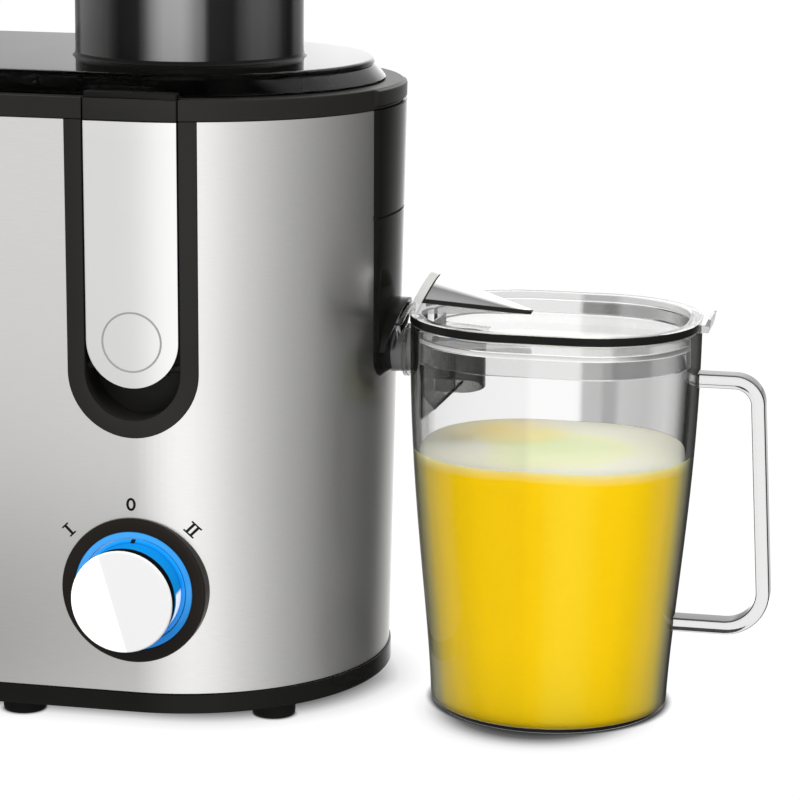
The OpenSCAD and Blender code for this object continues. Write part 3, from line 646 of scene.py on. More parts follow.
def hood_plastic(name):
    """Grey half-clear plastic with a painted highlight along its ridge, a pale lip, and painted shade lines
    along the lip and above its foot.
    """
    material, tree, coords = new_material(name)
    foot_x, foot_z = HOOD_FOOT
    x, y, z = split(tree, away_from(tree, coords, foot_x, 0, foot_z))
    around = calc(tree, "ARCTAN2", calc(tree, "MULTIPLY", y, -1.0), z)
    body = ramp(tree, span(tree, around, -math.pi / 2, math.pi / 2), HOOD_RIDGE_HIGHLIGHT)
    behind_mouth = calc(tree, "MULTIPLY_ADD", z, -HOOD_SLANT, x)
    depth = span(tree, behind_mouth, 0.0, 10 * MM)
    in_lip = ramp(tree, depth, [(0.34, 1.0), (0.36, 0.0)])
    lip_line = ramp(tree, depth, [(0.33, 0.0), (0.34, 1.0), (0.39, 1.0), (0.41, 0.0)])
    above_foot = calc(tree, "MULTIPLY_ADD", x, 0.125, z)
    height = span(tree, above_foot, 6.5 * MM, 12.5 * MM)
    foot_line = ramp(tree, height, [(0.34, 0.0), (0.37, 1.0), (0.60, 1.0), (0.63, 0.0)])
    below = ramp(tree, height, [(0.34, 0.65), (0.37, 0.0)])
    lipped = blend(tree, in_lip, body, HOOD_LIP_GREY)
    foot_shown = calc(tree, "MULTIPLY", foot_line, calc(tree, "SUBTRACT", 1.0, in_lip))
    tone = blend(tree, calc(tree, "MAXIMUM", foot_shown, lip_line), lipped, HOOD_LINE_SHADE)
    shader = principled(tree, Base_Color=tone, Roughness=satin(tree, 0.12, 0.03), IOR=1.3,
                        Specular_IOR_Level=0.1)
    clear = add(tree, "ShaderNodeBsdfTransparent").outputs["BSDF"]
    finish_shader(tree, mix_shaders(tree, below, shader, clear))
    return material


def knob_plastic(name):
    """Skirt of the knob: black in front, painted blue light glowing behind, a painted highlight arc low on
    its right.
    """
    material, tree, coords = new_material(name)
    behind_axis = split(tree, away_from(tree, coords, 0, 0, 0))["Y"]
    facing = calc_vector(tree, "DOT_PRODUCT", surface_normal(tree), KNOB_HIGHLIGHT_SIDE)
    in_highlight_band = span(tree, behind_axis, -87.5 * MM, -86.5 * MM)
    painted_highlight = calc(tree, "MULTIPLY", span(tree, facing, 0.90, 0.93), in_highlight_band)
    rear = span(tree, behind_axis, -89.3 * MM, -88.5 * MM)
    ground = ramp(tree, rear, [(0.0, KNOB_FRONT_BLACK), (1.0, KNOB_REAR_BLUE_LIGHT)])
    tone = blend(tree, painted_highlight, ground, KNOB_HIGHLIGHT_WHITE)
    finish_shader(tree, principled(tree, Base_Color=tone, Roughness=satin(tree, 0.15, 0.03),
                                   Specular_IOR_Level=0.0, Emission_Color=ground, Emission_Strength=0.4))
    return material


def reflection_banded_plastic(name, bands, see_through=0.0):
    """Glossy plastic with painted reflections: its grey changes round the motor's axis in bands of (share,
    grey).
    """
    material, tree, coords = new_material(name)
    share, _ = direction_share(tree, away_from(tree, coords, 0, 0, 0))
    mirrored, _ = mirrored_only(tree)
    tone = blend(tree, mirrored, ramp(tree, share, bands), MIRRORED_SHADE)
    shader = principled(tree, Base_Color=tone, Roughness=satin(tree, 0.2, 0.04), Specular_IOR_Level=0.06)
    clear = add(tree, "ShaderNodeBsdfGlass", {"Color": (0.8, 0.8, 0.78, 1), "Roughness": 0.02, "IOR": 1.2})
    finish_shader(tree, mix_shaders(tree, see_through, shader, clear.outputs["BSDF"]))
    return material


def face_with_painted_reflection(name):
    """Bright face of the knob with a painted reflection: a little darker right of a slanted line."""
    material, tree, coords = new_material(name)
    x, _, z = split(tree, coords)
    lean = 0.30
    middle, soft = AXIS.x + (DIAL_Z * lean - 3.6) * MM, 0.2 * MM
    right_of = span(tree, calc(tree, "MULTIPLY_ADD", z, lean, x), middle - soft, middle + soft)
    tone = ramp(tree, right_of, [(0.0, 0.90), (1.0, 0.56)])
    finish_shader(tree, principled(tree, Base_Color=tone, Roughness=satin(tree, 0.3, 0.04),
                                   Specular_IOR_Level=0.2))
    return material


def lit_plastic(name, bright, deep, strength):
    """Plastic lit from behind, brighter towards its top."""
    material, tree, coords = new_material(name)
    reach = 22
    rise = span(tree, split(tree, coords)["Z"], (DIAL_Z - reach) * MM, (DIAL_Z + reach) * MM)
    tone = ramp(tree, rise, [(0.0, deep), (1.0, bright)])
    finish_shader(tree, principled(tree, Base_Color=tone, Roughness=satin(tree, 0.25),
                                   Emission_Color=tone, Emission_Strength=strength))
    return material


JUICE_BRIGHT, JUICE_WARM, JUICE_SOFT = (1.0, 0.63, 0.0), (0.90, 0.58, 0.0), (0.80, 0.54, 0.03)
JUICE_DULL, JUICE_WAN = (0.62, 0.46, 0.07), (0.42, 0.38, 0.18)
JUICE_LIT = (1.0, 0.67, 0.012, 1)
JUICE_PALE_TOP = (0.80, 0.78, 0.42, 1)
# Painted shading of the juice round its sides, by the way its surface faces: (share, colour).
JUICE_SHADING_ROUND = [
    (0.0, JUICE_BRIGHT), (0.16, JUICE_WARM), (0.22, JUICE_SOFT), (0.285, JUICE_WAN), (0.334, JUICE_WAN),
    (0.357, JUICE_DULL), (0.386, JUICE_SOFT), (0.420, JUICE_WARM), (0.4525, JUICE_BRIGHT),
    (0.595, JUICE_BRIGHT), (0.627, JUICE_WARM), (0.662, JUICE_SOFT), (0.690, JUICE_DULL),
    (0.714, JUICE_WAN), (0.765, JUICE_WAN), (0.83, JUICE_SOFT), (0.89, JUICE_WARM), (1.0, JUICE_BRIGHT)]
FOAM_MIDDLE, FOAM_REACH = (JUG_X + 2, -4, JUICE_Z), (0.075, 0.062)
FOAM_GREYS = [(0.55, (0.70, 0.76, 0.46)), (0.85, (0.78, 0.79, 0.52)), (1.15, (0.80, 0.79, 0.66))]
FOAM_WARM_PLACE, FOAM_WARM = (JUG_X - 24, 20, JUICE_Z), (0.88, 0.66, 0.12, 1)


def juice_side(tree, coords, swirl):
    """Colour of the juice seen from the side: painted shading round it by the way its surface faces, a
    painted lit band, darker at the floor, pale at its surface.
    """
    level = calc(tree, "ADD", split(tree, coords)["Z"], calc(tree, "MULTIPLY", swirl, 0.004))
    height = span(tree, level, 0.0, (JUICE_Z + 2.0) * MM)
    turn, _ = direction_share(tree, surface_normal(tree))
    share, _ = direction_share(tree, away_from(tree, coords, JUG_X, 0, 0))
    lit_band = ramp(tree, share, [(0.505, 0.0), (0.525, 1.0), (0.56, 1.0), (0.585, 0.0)])
    banded = blend(tree, lit_band, ramp(tree, turn, JUICE_SHADING_ROUND), JUICE_LIT)
    floor_dim = ramp(tree, height, [(0.0, (0.76, 0.80, 1)), (0.14, (0.90, 0.92, 1)), (0.35, (1, 1, 1))])
    fading = ramp(tree, height, [(0.0, 0.0), (0.955, 0.0), (0.98, 0.35), (1.0, 0.9)])
    return blend(tree, fading, calc_vector(tree, "MULTIPLY", banded, floor_dim), JUICE_PALE_TOP)


def juice_foam(tree, coords, swirl):
    """Colour of the foam: a greenish middle, pale round it, and a warm patch at the back left."""
    offset = away_from(tree, coords, *FOAM_MIDDLE)
    flat = calc_vector(tree, "MULTIPLY", offset, (1 / FOAM_REACH[0], 1 / FOAM_REACH[1], 0))
    foam = ramp(tree, calc(tree, "ADD", calc_vector(tree, "LENGTH", flat), swirl), FOAM_GREYS)
    from_warm = calc_vector(tree, "DISTANCE", coords, tuple(at(*FOAM_WARM_PLACE)))
    warm = span(tree, calc(tree, "MULTIPLY_ADD", swirl, 0.03, from_warm), 0.018, 0.045, 0.75, 0.0)
    return blend(tree, warm, foam, FOAM_WARM)


def juice_material():
    """Orange juice that pales at its surface into a thin foam, and glows a little with painted light."""
    material, tree, coords = new_material("orange_juice")
    swirl = noise(tree, coords, 22.0)
    on_top = span(tree, split(tree, surface_normal(tree))["Z"], 0.4, 0.9)
    tone = blend(tree, on_top, juice_side(tree, coords, swirl), juice_foam(tree, coords, swirl))
    bubbles = add(tree, "ShaderNodeTexVoronoi", {"Vector": coords, "Scale": 700.0}).outputs["Distance"]
    # Painted light: the juice glows a little in its own colour.
    shader = principled(tree, Base_Color=tone, Roughness=0.6, Normal=relief(tree, bubbles, 0.05, 0.0003),
                        Specular_IOR_Level=0.05, Emission_Color=tone, Emission_Strength=0.28)
    finish_shader(tree, hide_in_mirrors(tree, shader))
    return material


BLACK = plastic("black_gloss_plastic", (0.004, 0.004, 0.0035), (0.006, 0.006, 0.005),
                base=0.18, drift=0.05, bump=0.01, dust=0.0, shine=0.12)
COLLAR_BLACK = plastic("collar_plastic", (0.010, 0.0095, 0.0085), (0.013, 0.0125, 0.011),
                       base=0.36, dust=0.0, shine=0.14)
SATIN_BLACK = plastic("satin_black_plastic", (0.006, 0.006, 0.0055), (0.010, 0.010, 0.009),
                      base=0.5, shine=0.12)
BEZEL_BLACK = plastic("bezel_plastic", (0.008, 0.0065, 0.005), (0.013, 0.010, 0.008),
                      base=0.3, dust=0.0, shine=0.10)
KNOB_BLACK = knob_plastic("knob_plastic")
RUBBER = plastic("black_rubber", (0.005, 0.005, 0.005), (0.008, 0.008, 0.007),
                 base=0.7, grain=1500.0, bump=0.15, shine=0.1)
PRINT = plastic("black_print", (0.003, 0.003, 0.003), (0.005, 0.005, 0.005), base=0.5, dust=0.0, shine=0.1)
WHITE = plastic("white_plastic", (0.80, 0.80, 0.76), (0.74, 0.74, 0.70), base=0.3)
GREY = plastic("grey_plastic", (0.20, 0.20, 0.20), (0.26, 0.26, 0.25), base=0.35)
BOARD = plastic("board_green", (0.01, 0.10, 0.03), (0.02, 0.14, 0.05), base=0.4)
CARBON = plastic("pressed_carbon", (0.03, 0.03, 0.03), (0.05, 0.05, 0.05), base=0.6, bump=0.2)
STEEL = metal("brushed_steel", (0.76, 0.755, 0.74), (0.70, 0.695, 0.68), base=0.30, drift=0.03, brushed=0.035)
PLATE = metal("silver_plate", (0.76, 0.76, 0.755), (0.74, 0.74, 0.735), base=0.30, drift=0.03)
CHROME = metal("polished_steel", (0.86, 0.86, 0.86), (0.80, 0.80, 0.80), base=0.08, drift=0.03, bump=0.005)
FILTER = metal("filter_steel", (0.66, 0.66, 0.65), (0.56, 0.56, 0.55), base=0.32)
IRON = metal("laminated_iron", (0.30, 0.30, 0.31), (0.20, 0.20, 0.21), base=0.5, brushed=0.3)
COPPER = metal("copper_wire", (0.80, 0.36, 0.17), (0.60, 0.24, 0.10), base=0.4, brushed=0.4)
ALLOY = metal("cast_alloy", (0.62, 0.62, 0.63), (0.50, 0.50, 0.51), base=0.45, bump=0.2)
FACE = face_with_painted_reflection("dial_face_silver")
BLUE = lit_plastic("blue_light_ring", (0.040, 0.25, 0.55), (0.0, 0.125, 0.37), 0.5)
BLUE_DEEP = lit_plastic("blue_flange", (0.004, 0.19, 0.50), (0.0, 0.115, 0.36), 0.75)

# Painted reflections on the chute and the pusher, as (share round the motor's axis, grey).
CHUTE_REFLECTION_BANDS = [
    (0.20, 0.05), (0.325, 0.006), (0.340, 0.009), (0.352, 0.12), (0.392, 0.072), (0.419, 0.04),
    (0.430, 0.018), (0.441, 0.006), (0.471, 0.009), (0.481, 0.055), (0.490, 0.14), (0.499, 0.21),
    (0.508, 0.26), (0.533, 0.27), (0.542, 0.22), (0.551, 0.155), (0.561, 0.11), (0.568, 0.012),
    (0.603, 0.009), (0.613, 0.031), (0.632, 0.064), (0.653, 0.07), (0.676, 0.05), (0.690, 0.017),
    (0.704, 0.006), (0.712, 0.010), (0.722, 0.06), (0.746, 0.075), (0.775, 0.10), (0.80, 0.05)]
# Painted shade on the jug and on its lid, round the jug's axis: (share, how much dark is mixed in).
JUG_SHADE_BANDS = [
    (0.0, 0.0), (0.30, 0.0), (0.36, 0.06), (0.485, 0.04), (0.495, 0.0), (0.700, 0.0), (0.722, 0.30),
    (0.738, 0.85), (0.79, 0.95), (0.812, 0.60), (0.84, 0.25), (0.862, 0.18), (0.898, 0.27),
    (0.934, 0.24), (0.942, 0.36), (0.956, 0.36), (0.960, 0.28), (0.984, 0.27), (0.990, 0.02), (1.0, 0.0)]
JUG_LID_SHADE_BANDS = [
    (0.0, 0.0), (0.590, 0.0), (0.599, 0.22), (0.638, 0.22), (0.645, 0.10), (0.70, 0.12), (0.76, 0.2),
    (0.86, 0.03), (0.90, 0.09), (0.934, 0.11), (0.942, 0.21), (0.984, 0.21), (0.990, 0.0), (1.0, 0.0)]

SMOKE = clear_plastic("smoke_plastic", (0.12, 0.115, 0.105), 800.0, roughness=0.015, glare=0.2)
CHUTE_SMOKE = reflection_banded_plastic("chute_plastic", CHUTE_REFLECTION_BANDS, see_through=0.15)
SPOUT_SMOKE = clear_plastic("spout_plastic", (0.30, 0.30, 0.28), 260.0, roughness=0.03)
SPOUT_CLEAR = clear_plastic("spout_tube_plastic", (0.35, 0.35, 0.33), 60.0, roughness=0.03, cloudy=0.5,
                            milk=0.3)
HOOD_GREY = hood_plastic("hood_plastic")
BIN_SMOKE = clear_plastic("bin_smoke_plastic", (0.12, 0.12, 0.11), 420.0, roughness=0.06, glare=0.3)
JUG_CLEAR = clear_plastic("jug_plastic", (0.30, 0.30, 0.28), 18.0, roughness=0.008, glare=0.1,
                          mirrored=False, edge=0.75, bands=JUG_SHADE_BANDS)
JUG_LID_GREY = clear_plastic("jug_lid_plastic", (0.30, 0.30, 0.28), 50.0, roughness=0.01, glare=0.4,
                             mirrored=False, bands=JUG_LID_SHADE_BANDS, haze=0.07)
LIP_DARK = plastic("jug_lip_plastic", (0.004, 0.004, 0.004), (0.007, 0.007, 0.006), base=0.25, dust=0.0,
                   shine=0.1)
SEPARATOR_SMOKE = clear_plastic("separator_plastic", (0.15, 0.145, 0.135), 1300.0, roughness=0.015,
                                glare=0.2)
HANDLE_CLEAR = clear_plastic("handle_plastic", (0.40, 0.40, 0.39), 34.0, roughness=0.01, edge=0.6)
# Painted shade: a dark, nearly opaque plastic for the handle's sides and rounded corners.
HANDLE_EDGE_SHADE = clear_plastic("handle_edge_plastic", (0.40, 0.40, 0.39), 34.0, roughness=0.01, cloudy=0.8,
                            milk=0.03)
PUSHER_GREY = reflection_banded_plastic("pusher_plastic", CHUTE_REFLECTION_BANDS)
JUICE = juice_material()


# ------------------------------------------------------------------ camera, lights and floor

CAMERA_PLACE = (303.84, -1083.45, 356.43)
CAMERA_PITCH, CAMERA_AZIMUTH, CAMERA_ROLL = 12.357, 11.552, 0.644
CAMERA_LENS = 133.6
LIGHTS_LOOK_AT = (40, 0, 120)

# Brightness of the studio as glossy surfaces see it, by direction round the juicer:
# 0 is straight behind, 0.5 straight in front, 0.75 to the right.
SIDE_GLOW = [
    (0.0, 1.7), (0.036, 1.6), (0.047, 0.75), (0.06, 0.55), (0.10, 0.55), (0.20, 0.45), (0.415, 0.74),
    (0.44, 0.88), (0.465, 0.96), (0.495, 1.28), (0.53, 1.52), (0.575, 1.40), (0.61, 1.12), (0.64, 0.96),
    (0.69, 0.70), (0.745, 0.50), (0.80, 0.33), (0.85, 0.18), (0.90, 0.16), (0.95, 0.8), (1.0, 1.7)]
OVERHEAD_GLOW = [
    (0.0, 1.3), (0.12, 1.2), (0.28, 0.20), (0.45, 0.06), (0.60, 0.06), (0.70, 0.35), (0.76, 0.12),
    (0.80, 1.6), (0.92, 1.6), (1.0, 1.3)]
OVERHEAD_RISE = (0.30, 0.62)

# How much of it the table gives back.
TABLE_GLOW = [(0.46, 0.96), (0.50, 1.0), (0.60, 0.76), (0.80, 0.64)]
TABLE_RISE = -0.01

# Brightness of the studio as seen through clear plastic.
THROUGH_GLOW = [
    (0.0, 1.0), (0.07, 1.0), (0.13, 0.25), (0.30, 0.12), (0.45, 0.5), (0.60, 0.5), (0.75, 0.15),
    (0.82, 0.25), (0.88, 1.0), (1.0, 1.0)]

# Tone of the table by the distance from the housing's and the jug's plan, each over its own reach.
HOUSING_REACH, JUG_REACH = (58 * MM, 98 * MM), (28 * MM, 58 * MM)
HOUSING_SHADOW_RIGHT, HOUSING_SHADOW_LEFT = (3, 0, 0), (BIN_X, 16, 0)
JUG_SHADOW_MIDDLE, JUG_SHADOW_SCALE = (JUG_X - 2, -14, 0), (1.10, 1.0, 1.0)
HOUSING_SHADOW = [
    (0.075, 0.025), (0.15, 0.10), (0.25, 0.23), (0.35, 0.41), (0.4375, 0.62), (0.525, 0.82),
    (0.625, 0.91), (0.80, 1.02)]
JUG_SHADOW = [
    (0.107, 0.05), (0.257, 0.133), (0.387, 0.386), (0.517, 0.687), (0.647, 0.90), (0.777, 0.98),
    (0.93, 1.02)]
CONTACT_SHADOW = [(0.0, 0.0), (0.45, 0.10), (0.70, 0.60), (0.90, 1.02)]
OPEN_TABLE = 1.02
WIDE_OPENNESS, CLOSE_OPENNESS = 50, 4
REFLECTED_SHADE_MIDDLE = (-190, -190, 0)
FLOOR_REACH = 9000


def add_camera():
    data = bpy.data.cameras.new("camera")
    data.sensor_width = 36
    data.lens = CAMERA_LENS
    data.clip_end = 100
    camera = bpy.data.objects.new("camera", data)
    level = Euler((math.pi / 2 - math.radians(CAMERA_PITCH), 0, math.radians(CAMERA_AZIMUTH))).to_matrix()
    turn = level @ Matrix.Rotation(math.radians(CAMERA_ROLL), 3, "Z")
    camera.matrix_world = Matrix.Translation(at(*CAMERA_PLACE)) @ turn.to_4x4()
    bpy.context.scene.collection.objects.link(camera)
    bpy.context.scene.camera = camera


def softbox(name, place, size, power):
    """An area light at place, in millimetres, that looks at the juicer's middle."""
    data = bpy.data.lights.new(name, "AREA")
    data.shape = "RECTANGLE"
    data.size, data.size_y = size[0] * MM, size[1] * MM
    data.energy = power
    lamp = bpy.data.objects.new(name, data)
    aim = at(*LIGHTS_LOOK_AT) - at(*place)
    lamp.matrix_world = Matrix.Translation(at(*place)) @ aim.to_track_quat("-Z", "Y").to_matrix().to_4x4()
    lamp.visible_glossy = False
    bpy.context.scene.collection.objects.link(lamp)


def add_world():
    world = bpy.data.worlds.new("studio")
    bpy.context.scene.world = world
    world.use_nodes = True
    tree = world.node_tree
    tree.nodes.clear()
    plain = (1, 1, 1, 1)
    share, rise = direction_share(tree, add(tree, "ShaderNodeTexCoord").outputs["Generated"])
    mirrored, through = mirrored_only(tree)
    by_table = calc(tree, "LESS_THAN", rise, TABLE_RISE)
    table = blend(tree, by_table, plain, ramp(tree, share, TABLE_GLOW))
    around = blend(tree, 1.0, ramp(tree, share, SIDE_GLOW), table, "MULTIPLY")
    seen = blend(tree, span(tree, rise, *OVERHEAD_RISE), around, ramp(tree, share, OVERHEAD_GLOW))
    straight = blend(tree, through, plain, ramp(tree, share, THROUGH_GLOW))
    colour = blend(tree, mirrored, straight, seen)
    background = add(tree, "ShaderNodeBackground", {"Color": colour, "Strength": 1.0})
    add(tree, "ShaderNodeOutputWorld", {"Surface": background.outputs["Background"]})


def openness(tree, reach):
    """1 where nothing stands within reach, in millimetres, and less where something does."""
    return add(tree, "ShaderNodeAmbientOcclusion", {"Distance": reach * MM}, samples=16).outputs["AO"]


def table_shadow(tree, coords):
    """Grey of the table: dark under the housing and the jug, and white where a piece has been moved away."""
    beyond_right = away_from(tree, coords, *HOUSING_SHADOW_RIGHT)
    beyond_left = calc_vector(tree, "SUBTRACT", tuple(at(*HOUSING_SHADOW_LEFT)), coords)
    farther = calc_vector(tree, "MAXIMUM", beyond_right, beyond_left)
    from_housing = calc_vector(tree, "LENGTH", calc_vector(tree, "MAXIMUM", farther, (0, 0, 0)))
    under_housing = ramp(tree, span(tree, from_housing, *HOUSING_REACH), HOUSING_SHADOW)
    beside_jug = away_from(tree, coords, *JUG_SHADOW_MIDDLE)
    from_jug = calc_vector(tree, "LENGTH", calc_vector(tree, "MULTIPLY", beside_jug, JUG_SHADOW_SCALE))
    under_jug = ramp(tree, span(tree, from_jug, *JUG_REACH), JUG_SHADOW)
    darker = calc(tree, "MINIMUM", under_housing, under_jug)
    cleared = span(tree, openness(tree, WIDE_OPENNESS), 0.80, 0.96, 0.0, OPEN_TABLE)
    contact = ramp(tree, openness(tree, CLOSE_OPENNESS), CONTACT_SHADOW)
    return calc(tree, "MINIMUM", calc(tree, "MAXIMUM", darker, cleared), contact)


def add_floor():
    """A pale table with painted shadows that runs out into the backdrop; glossy pieces mirror the studio
    through it, with painted shade near its front left.
    """
    material, tree, coords = new_material("pale_table")
    tone = calc(tree, "MULTIPLY_ADD", noise(tree, coords, 300.0), 0.01, table_shadow(tree, coords))
    pale = add(tree, "ShaderNodeEmission", {"Color": tone, "Strength": 1.0}).outputs["Emission"]
    # Painted shade in reflections: what glossy pieces mirror through the table is darker near its front left.
    from_reflected_shade = calc_vector(tree, "DISTANCE", coords, tuple(at(*REFLECTED_SHADE_MIDDLE)))
    tint = span(tree, from_reflected_shade, 0.11, 0.26, 0.48, 1.0)
    clear = add(tree, "ShaderNodeBsdfTransparent", {"Color": tint}).outputs["BSDF"]
    mirrored, _ = mirrored_only(tree)
    finish_shader(tree, mix_shaders(tree, mirrored, pale, clear))
    corners = [(x * FLOOR_REACH, y * FLOOR_REACH, 0) for x, y in ((-1, -1), (1, -1), (1, 1), (-1, 1))]
    floor = build("table_top", [(corners, [(0, 1, 2, 3)])], material, turn_out=False)


add_camera()
add_world()
add_floor()
softbox("key_light", (-700, -1400, 1500), (900, 900), 26)
softbox("right_light", (1300, -900, 1100), (900, 900), 12)
softbox("top_light", (100, 0, 1800), (1800, 1500), 26)
bpy.context.scene.view_settings.view_transform = "Standard"


# ------------------------------------------------------------------ housing

def cutter(outline, low, high, place):
    """A prism for cut() to take away."""
    return build("cutter", [solid(outline, low, high, place)], BLACK)


def notch_cutters(half_w, near, far, low, high):
    """Upright blocks behind and in front, between two distances from the middle."""
    outline = [(-half_w, near), (half_w, near), (half_w, far), (-half_w, far)]
    return [cutter([(x, side * y) for x, y in outline], low, high, along_z) for side in (1, -1)]


def dress(name, parts, material, body, node, slot):
    """Builds a piece, shades it and puts it on its body in place of its CAD node."""
    return wear(shade(build(name, parts, material)), body, node, slot=slot)


def u_cutter(half_w, side):
    """Cuts the latch's U out of the housing's front (side -1) or rear (side 1)."""
    bend = list(reversed(arc(0, GUIDE_END_Z, half_w, 180, 360, 64)))
    return cutter([(half_w, FAR_ABOVE)] + bend + [(-half_w, FAR_ABOVE)], side * 60, side * 95, along_y)


def make_steel_wrap():
    sheet, left, opening = 0.8, -75.6, 23.4
    out_low, out_high = rad(STEEL_Z0), rad(STEEL_Z1)
    profile = fillet([(out_low, STEEL_Z0), (out_high, STEEL_Z1), (out_high - sheet, STEEL_Z1),
                      (out_low - sheet, STEEL_Z0)], 0.15, 2)
    swept = sweep_plan(profile, lambda r: housing_plan(r, left), closed_loop=False)
    wrap = build("steel_wrap_sheet", [swept], STEEL)
    cut(wrap, u_cutter(opening, -1), u_cutter(opening, 1))
    wear(shade(wrap), "base", "steel_wrap", slot="steel")


def make_collar():
    low, high = rad(COLLAR_Z0), rad(COLLAR_Z1)
    inside = 73.4
    outline = fillet([(low, COLLAR_Z0, HOUSING_LEFT), (high, COLLAR_Z1, HOUSING_LEFT),
                      (inside, COLLAR_Z1, -inside), (inside, COLLAR_Z0, -inside)], [0.25, 0.7, 0.5, 0], 4)
    collar = build("collar_band", [sweep_plan(outline, housing_plan)], COLLAR_BLACK)
    cut(collar, *notch_cutters(GUIDE_INNER_HW, 75.3, 95, 220, 240))
    bevel(collar, 0.25, 2, 60)
    levels = [228.3, 228.6, 229.2, 231, 233.6, 234.4, 234.9, 235.05]
    face = panel_sheet(levels, levels[0], levels[-1], both_ends=True)
    bulge = build("collar_bulge", [face], COLLAR_BLACK)
    thicken(bulge, 1.6)
    whole = shade(join("housing_collar", collar, bulge))
    wear(whole, "base", "collar", slot="gloss_black")


def panel_half_w(z):
    """Half width of the spout panel, with its lower corners rounded."""
    low_half, high_half, corner = 21.6, 26, 8
    straight = low_half + (z - SPOUT_Z) * (high_half - low_half) / (COLLAR_Z1 - SPOUT_Z)
    drop = PANEL_LOW + corner - z
    if drop <= 0:
        return straight
    return straight - corner + math.sqrt(max(corner * corner - drop * drop, 0))


def panel_sheet(levels, low, high, both_ends=False):
    """The panel's face: flat edge strips of 2 mm rise to the raised middle."""
    sunk, raised, strip = 0.35, 1.75, 2.0
    shares = [0, 0.25, 0.5, 0.7, 0.82, 0.90, 0.935, 0.965, 0.985, 1]
    shares = [-s for s in reversed(shares[1:])] + shares
    rows = []
    for z in levels:
        half = panel_half_w(z)
        row = []
        for s in shares:
            edge = min(half * (1 - abs(s)), (z - low) * 1.2)
            if both_ends:
                edge = min(half * (1 - abs(s)), (z - low) * 2.5, (high - z) * 2.5)
            depth = sunk - raised * min(1, max(0, edge / strip)) ** 0.8
            row.append((half * s, z, depth))
        rows.append(row)
    return grid(rows, right_surface)


def make_spout_panel():
    over_seam = PANEL_SEAM + 0.8
    low_levels = [126.02, 126.15, 126.5, 127, 127.7, 128.5, 129.5, 131, 132.5, SPOUT_Z]
    low_levels += [SPOUT_Z + i * (PANEL_SEAM - SPOUT_Z) / 14 for i in range(1, 14)] + [PANEL_SEAM - 0.1]
    high_levels = [over_seam + i * (STEEL_Z1 - over_seam) / 10 for i in range(11)]
    groove_rows = [[(s * panel_half_w(z) * 0.99, z, -0.55) for s in (-1, -0.5, 0, 0.5, 1)]
                   for z in (PANEL_SEAM - 0.4, PANEL_SEAM + 1.1)]
    lower_sheet = build("panel_low", [panel_sheet(low_levels, PANEL_LOW, FAR_ABOVE)], BLACK)
    upper_sheet = build("panel_high", [panel_sheet(high_levels, PANEL_LOW, FAR_ABOVE)], BLACK)
    groove = build("panel_groove", [grid(groove_rows, right_surface)], SATIN_BLACK)
    thicken(lower_sheet, 2.0)
    thicken(upper_sheet, 2.0)
    thicken(groove, 0.6)
    panel = join("panel_sheets", lower_sheet, upper_sheet, groove)
    shroud = build("shroud", [shroud_shape(20, 18.1, 78, 79.2, 84)], BLACK)
    bevel(shroud, 0.35, 2, 50)
    whole = join("spout_side_panel", panel, shroud)
    wear(shade(whole, weighted=False), "base", "spout_panel", slot="gloss_black")


def shroud_shape(outer, inner, back, front_at_axis, reach):
    """A ring sector over the spout, reach degrees to each side, whose front slants out towards its top."""
    slant, steps = 0.322, 40
    rows = []
    for i in range(steps + 1):
        angle = math.radians(-reach + 2 * reach * i / steps)
        (up_out, side_out), (up_in, side_in) = [(r * math.cos(angle), r * math.sin(angle))
                                                for r in (outer, inner)]
        rows.append([(back, side_out, SPOUT_Z + up_out),
                     (front_at_axis + slant * up_out, side_out, SPOUT_Z + up_out),
                     (front_at_axis + slant * up_in, side_in, SPOUT_Z + up_in),
                     (back, side_in, SPOUT_Z + up_in)])
    return capped(rows)


def make_visor():
    visor = build("spout_visor_arc", [shroud_shape(18, 16.4, 81.2, 81.5, 47)], SPOUT_SMOKE)
    bevel(visor, 0.2, 2, 50)
    wear(shade(visor, weighted=False), "base", "spout_visor", slot="smoke")


def make_spout():
    outer = [(8.5, 57.6), (8.5, 84), (7.0, 95.2), (6.7, 95.6)]
    inner = [(5.7, 95.6), (5.4, 95.2), (6.9, 84), (6.9, 57.6)]
    tube = build("spout_tube", [lathe_x(outer + inner)], SPOUT_CLEAR)
    mouth = [(81, SPOUT_Z + 0.8), (84.2, SPOUT_Z + 9.5), (81, SPOUT_Z + 9.5)]
    cut(tube, cutter(mouth, -20, 20, along_y))
    wear(shade(tube), "base", "juice_spout", slot="clear")
    ring = fillet([(8.6, 84.6), (10.1, 84.6), (10.1, 86.2), (8.6, 86.2)], 0.4, 2)
    dress("spout_ring_part", [lathe_x(ring)], SPOUT_SMOKE, "base", "spout_ring", "smoke")


def make_base_tray():
    outer = fillet([(78.1, 8.2), (78.4, 8.8), (78.15, 15.5), (75.7, 15.5), (75.5, 11.2)],
                   [0.5, 0.3, 0.35, 0, 0], 3)
    left, widest, sunk = -76.6, 78.4, 11.2
    rows = [(r, z, left + (widest - r)) for r, z in outer] + [(0.0, sunk, -74.0), (0.0, 8.2, left)]
    tray = build("base_tray_ring", [sweep_plan(rows, housing_plan)], BLACK)
    slots = []
    for i in range(12):
        turn = math.radians(30 * i)
        outline = [(r * math.cos(turn) - w * math.sin(turn), r * math.sin(turn) + w * math.cos(turn))
                   for r, w in ((14, -1.5), (32, -1.5), (32, 1.5), (14, 1.5))]
        slots.append(solid(outline, 6, 13, along_z))
    cut(tray, build("cutter", slots, BLACK))
    wear(shade(tray), "base", "base_tray", slot="gloss_black")


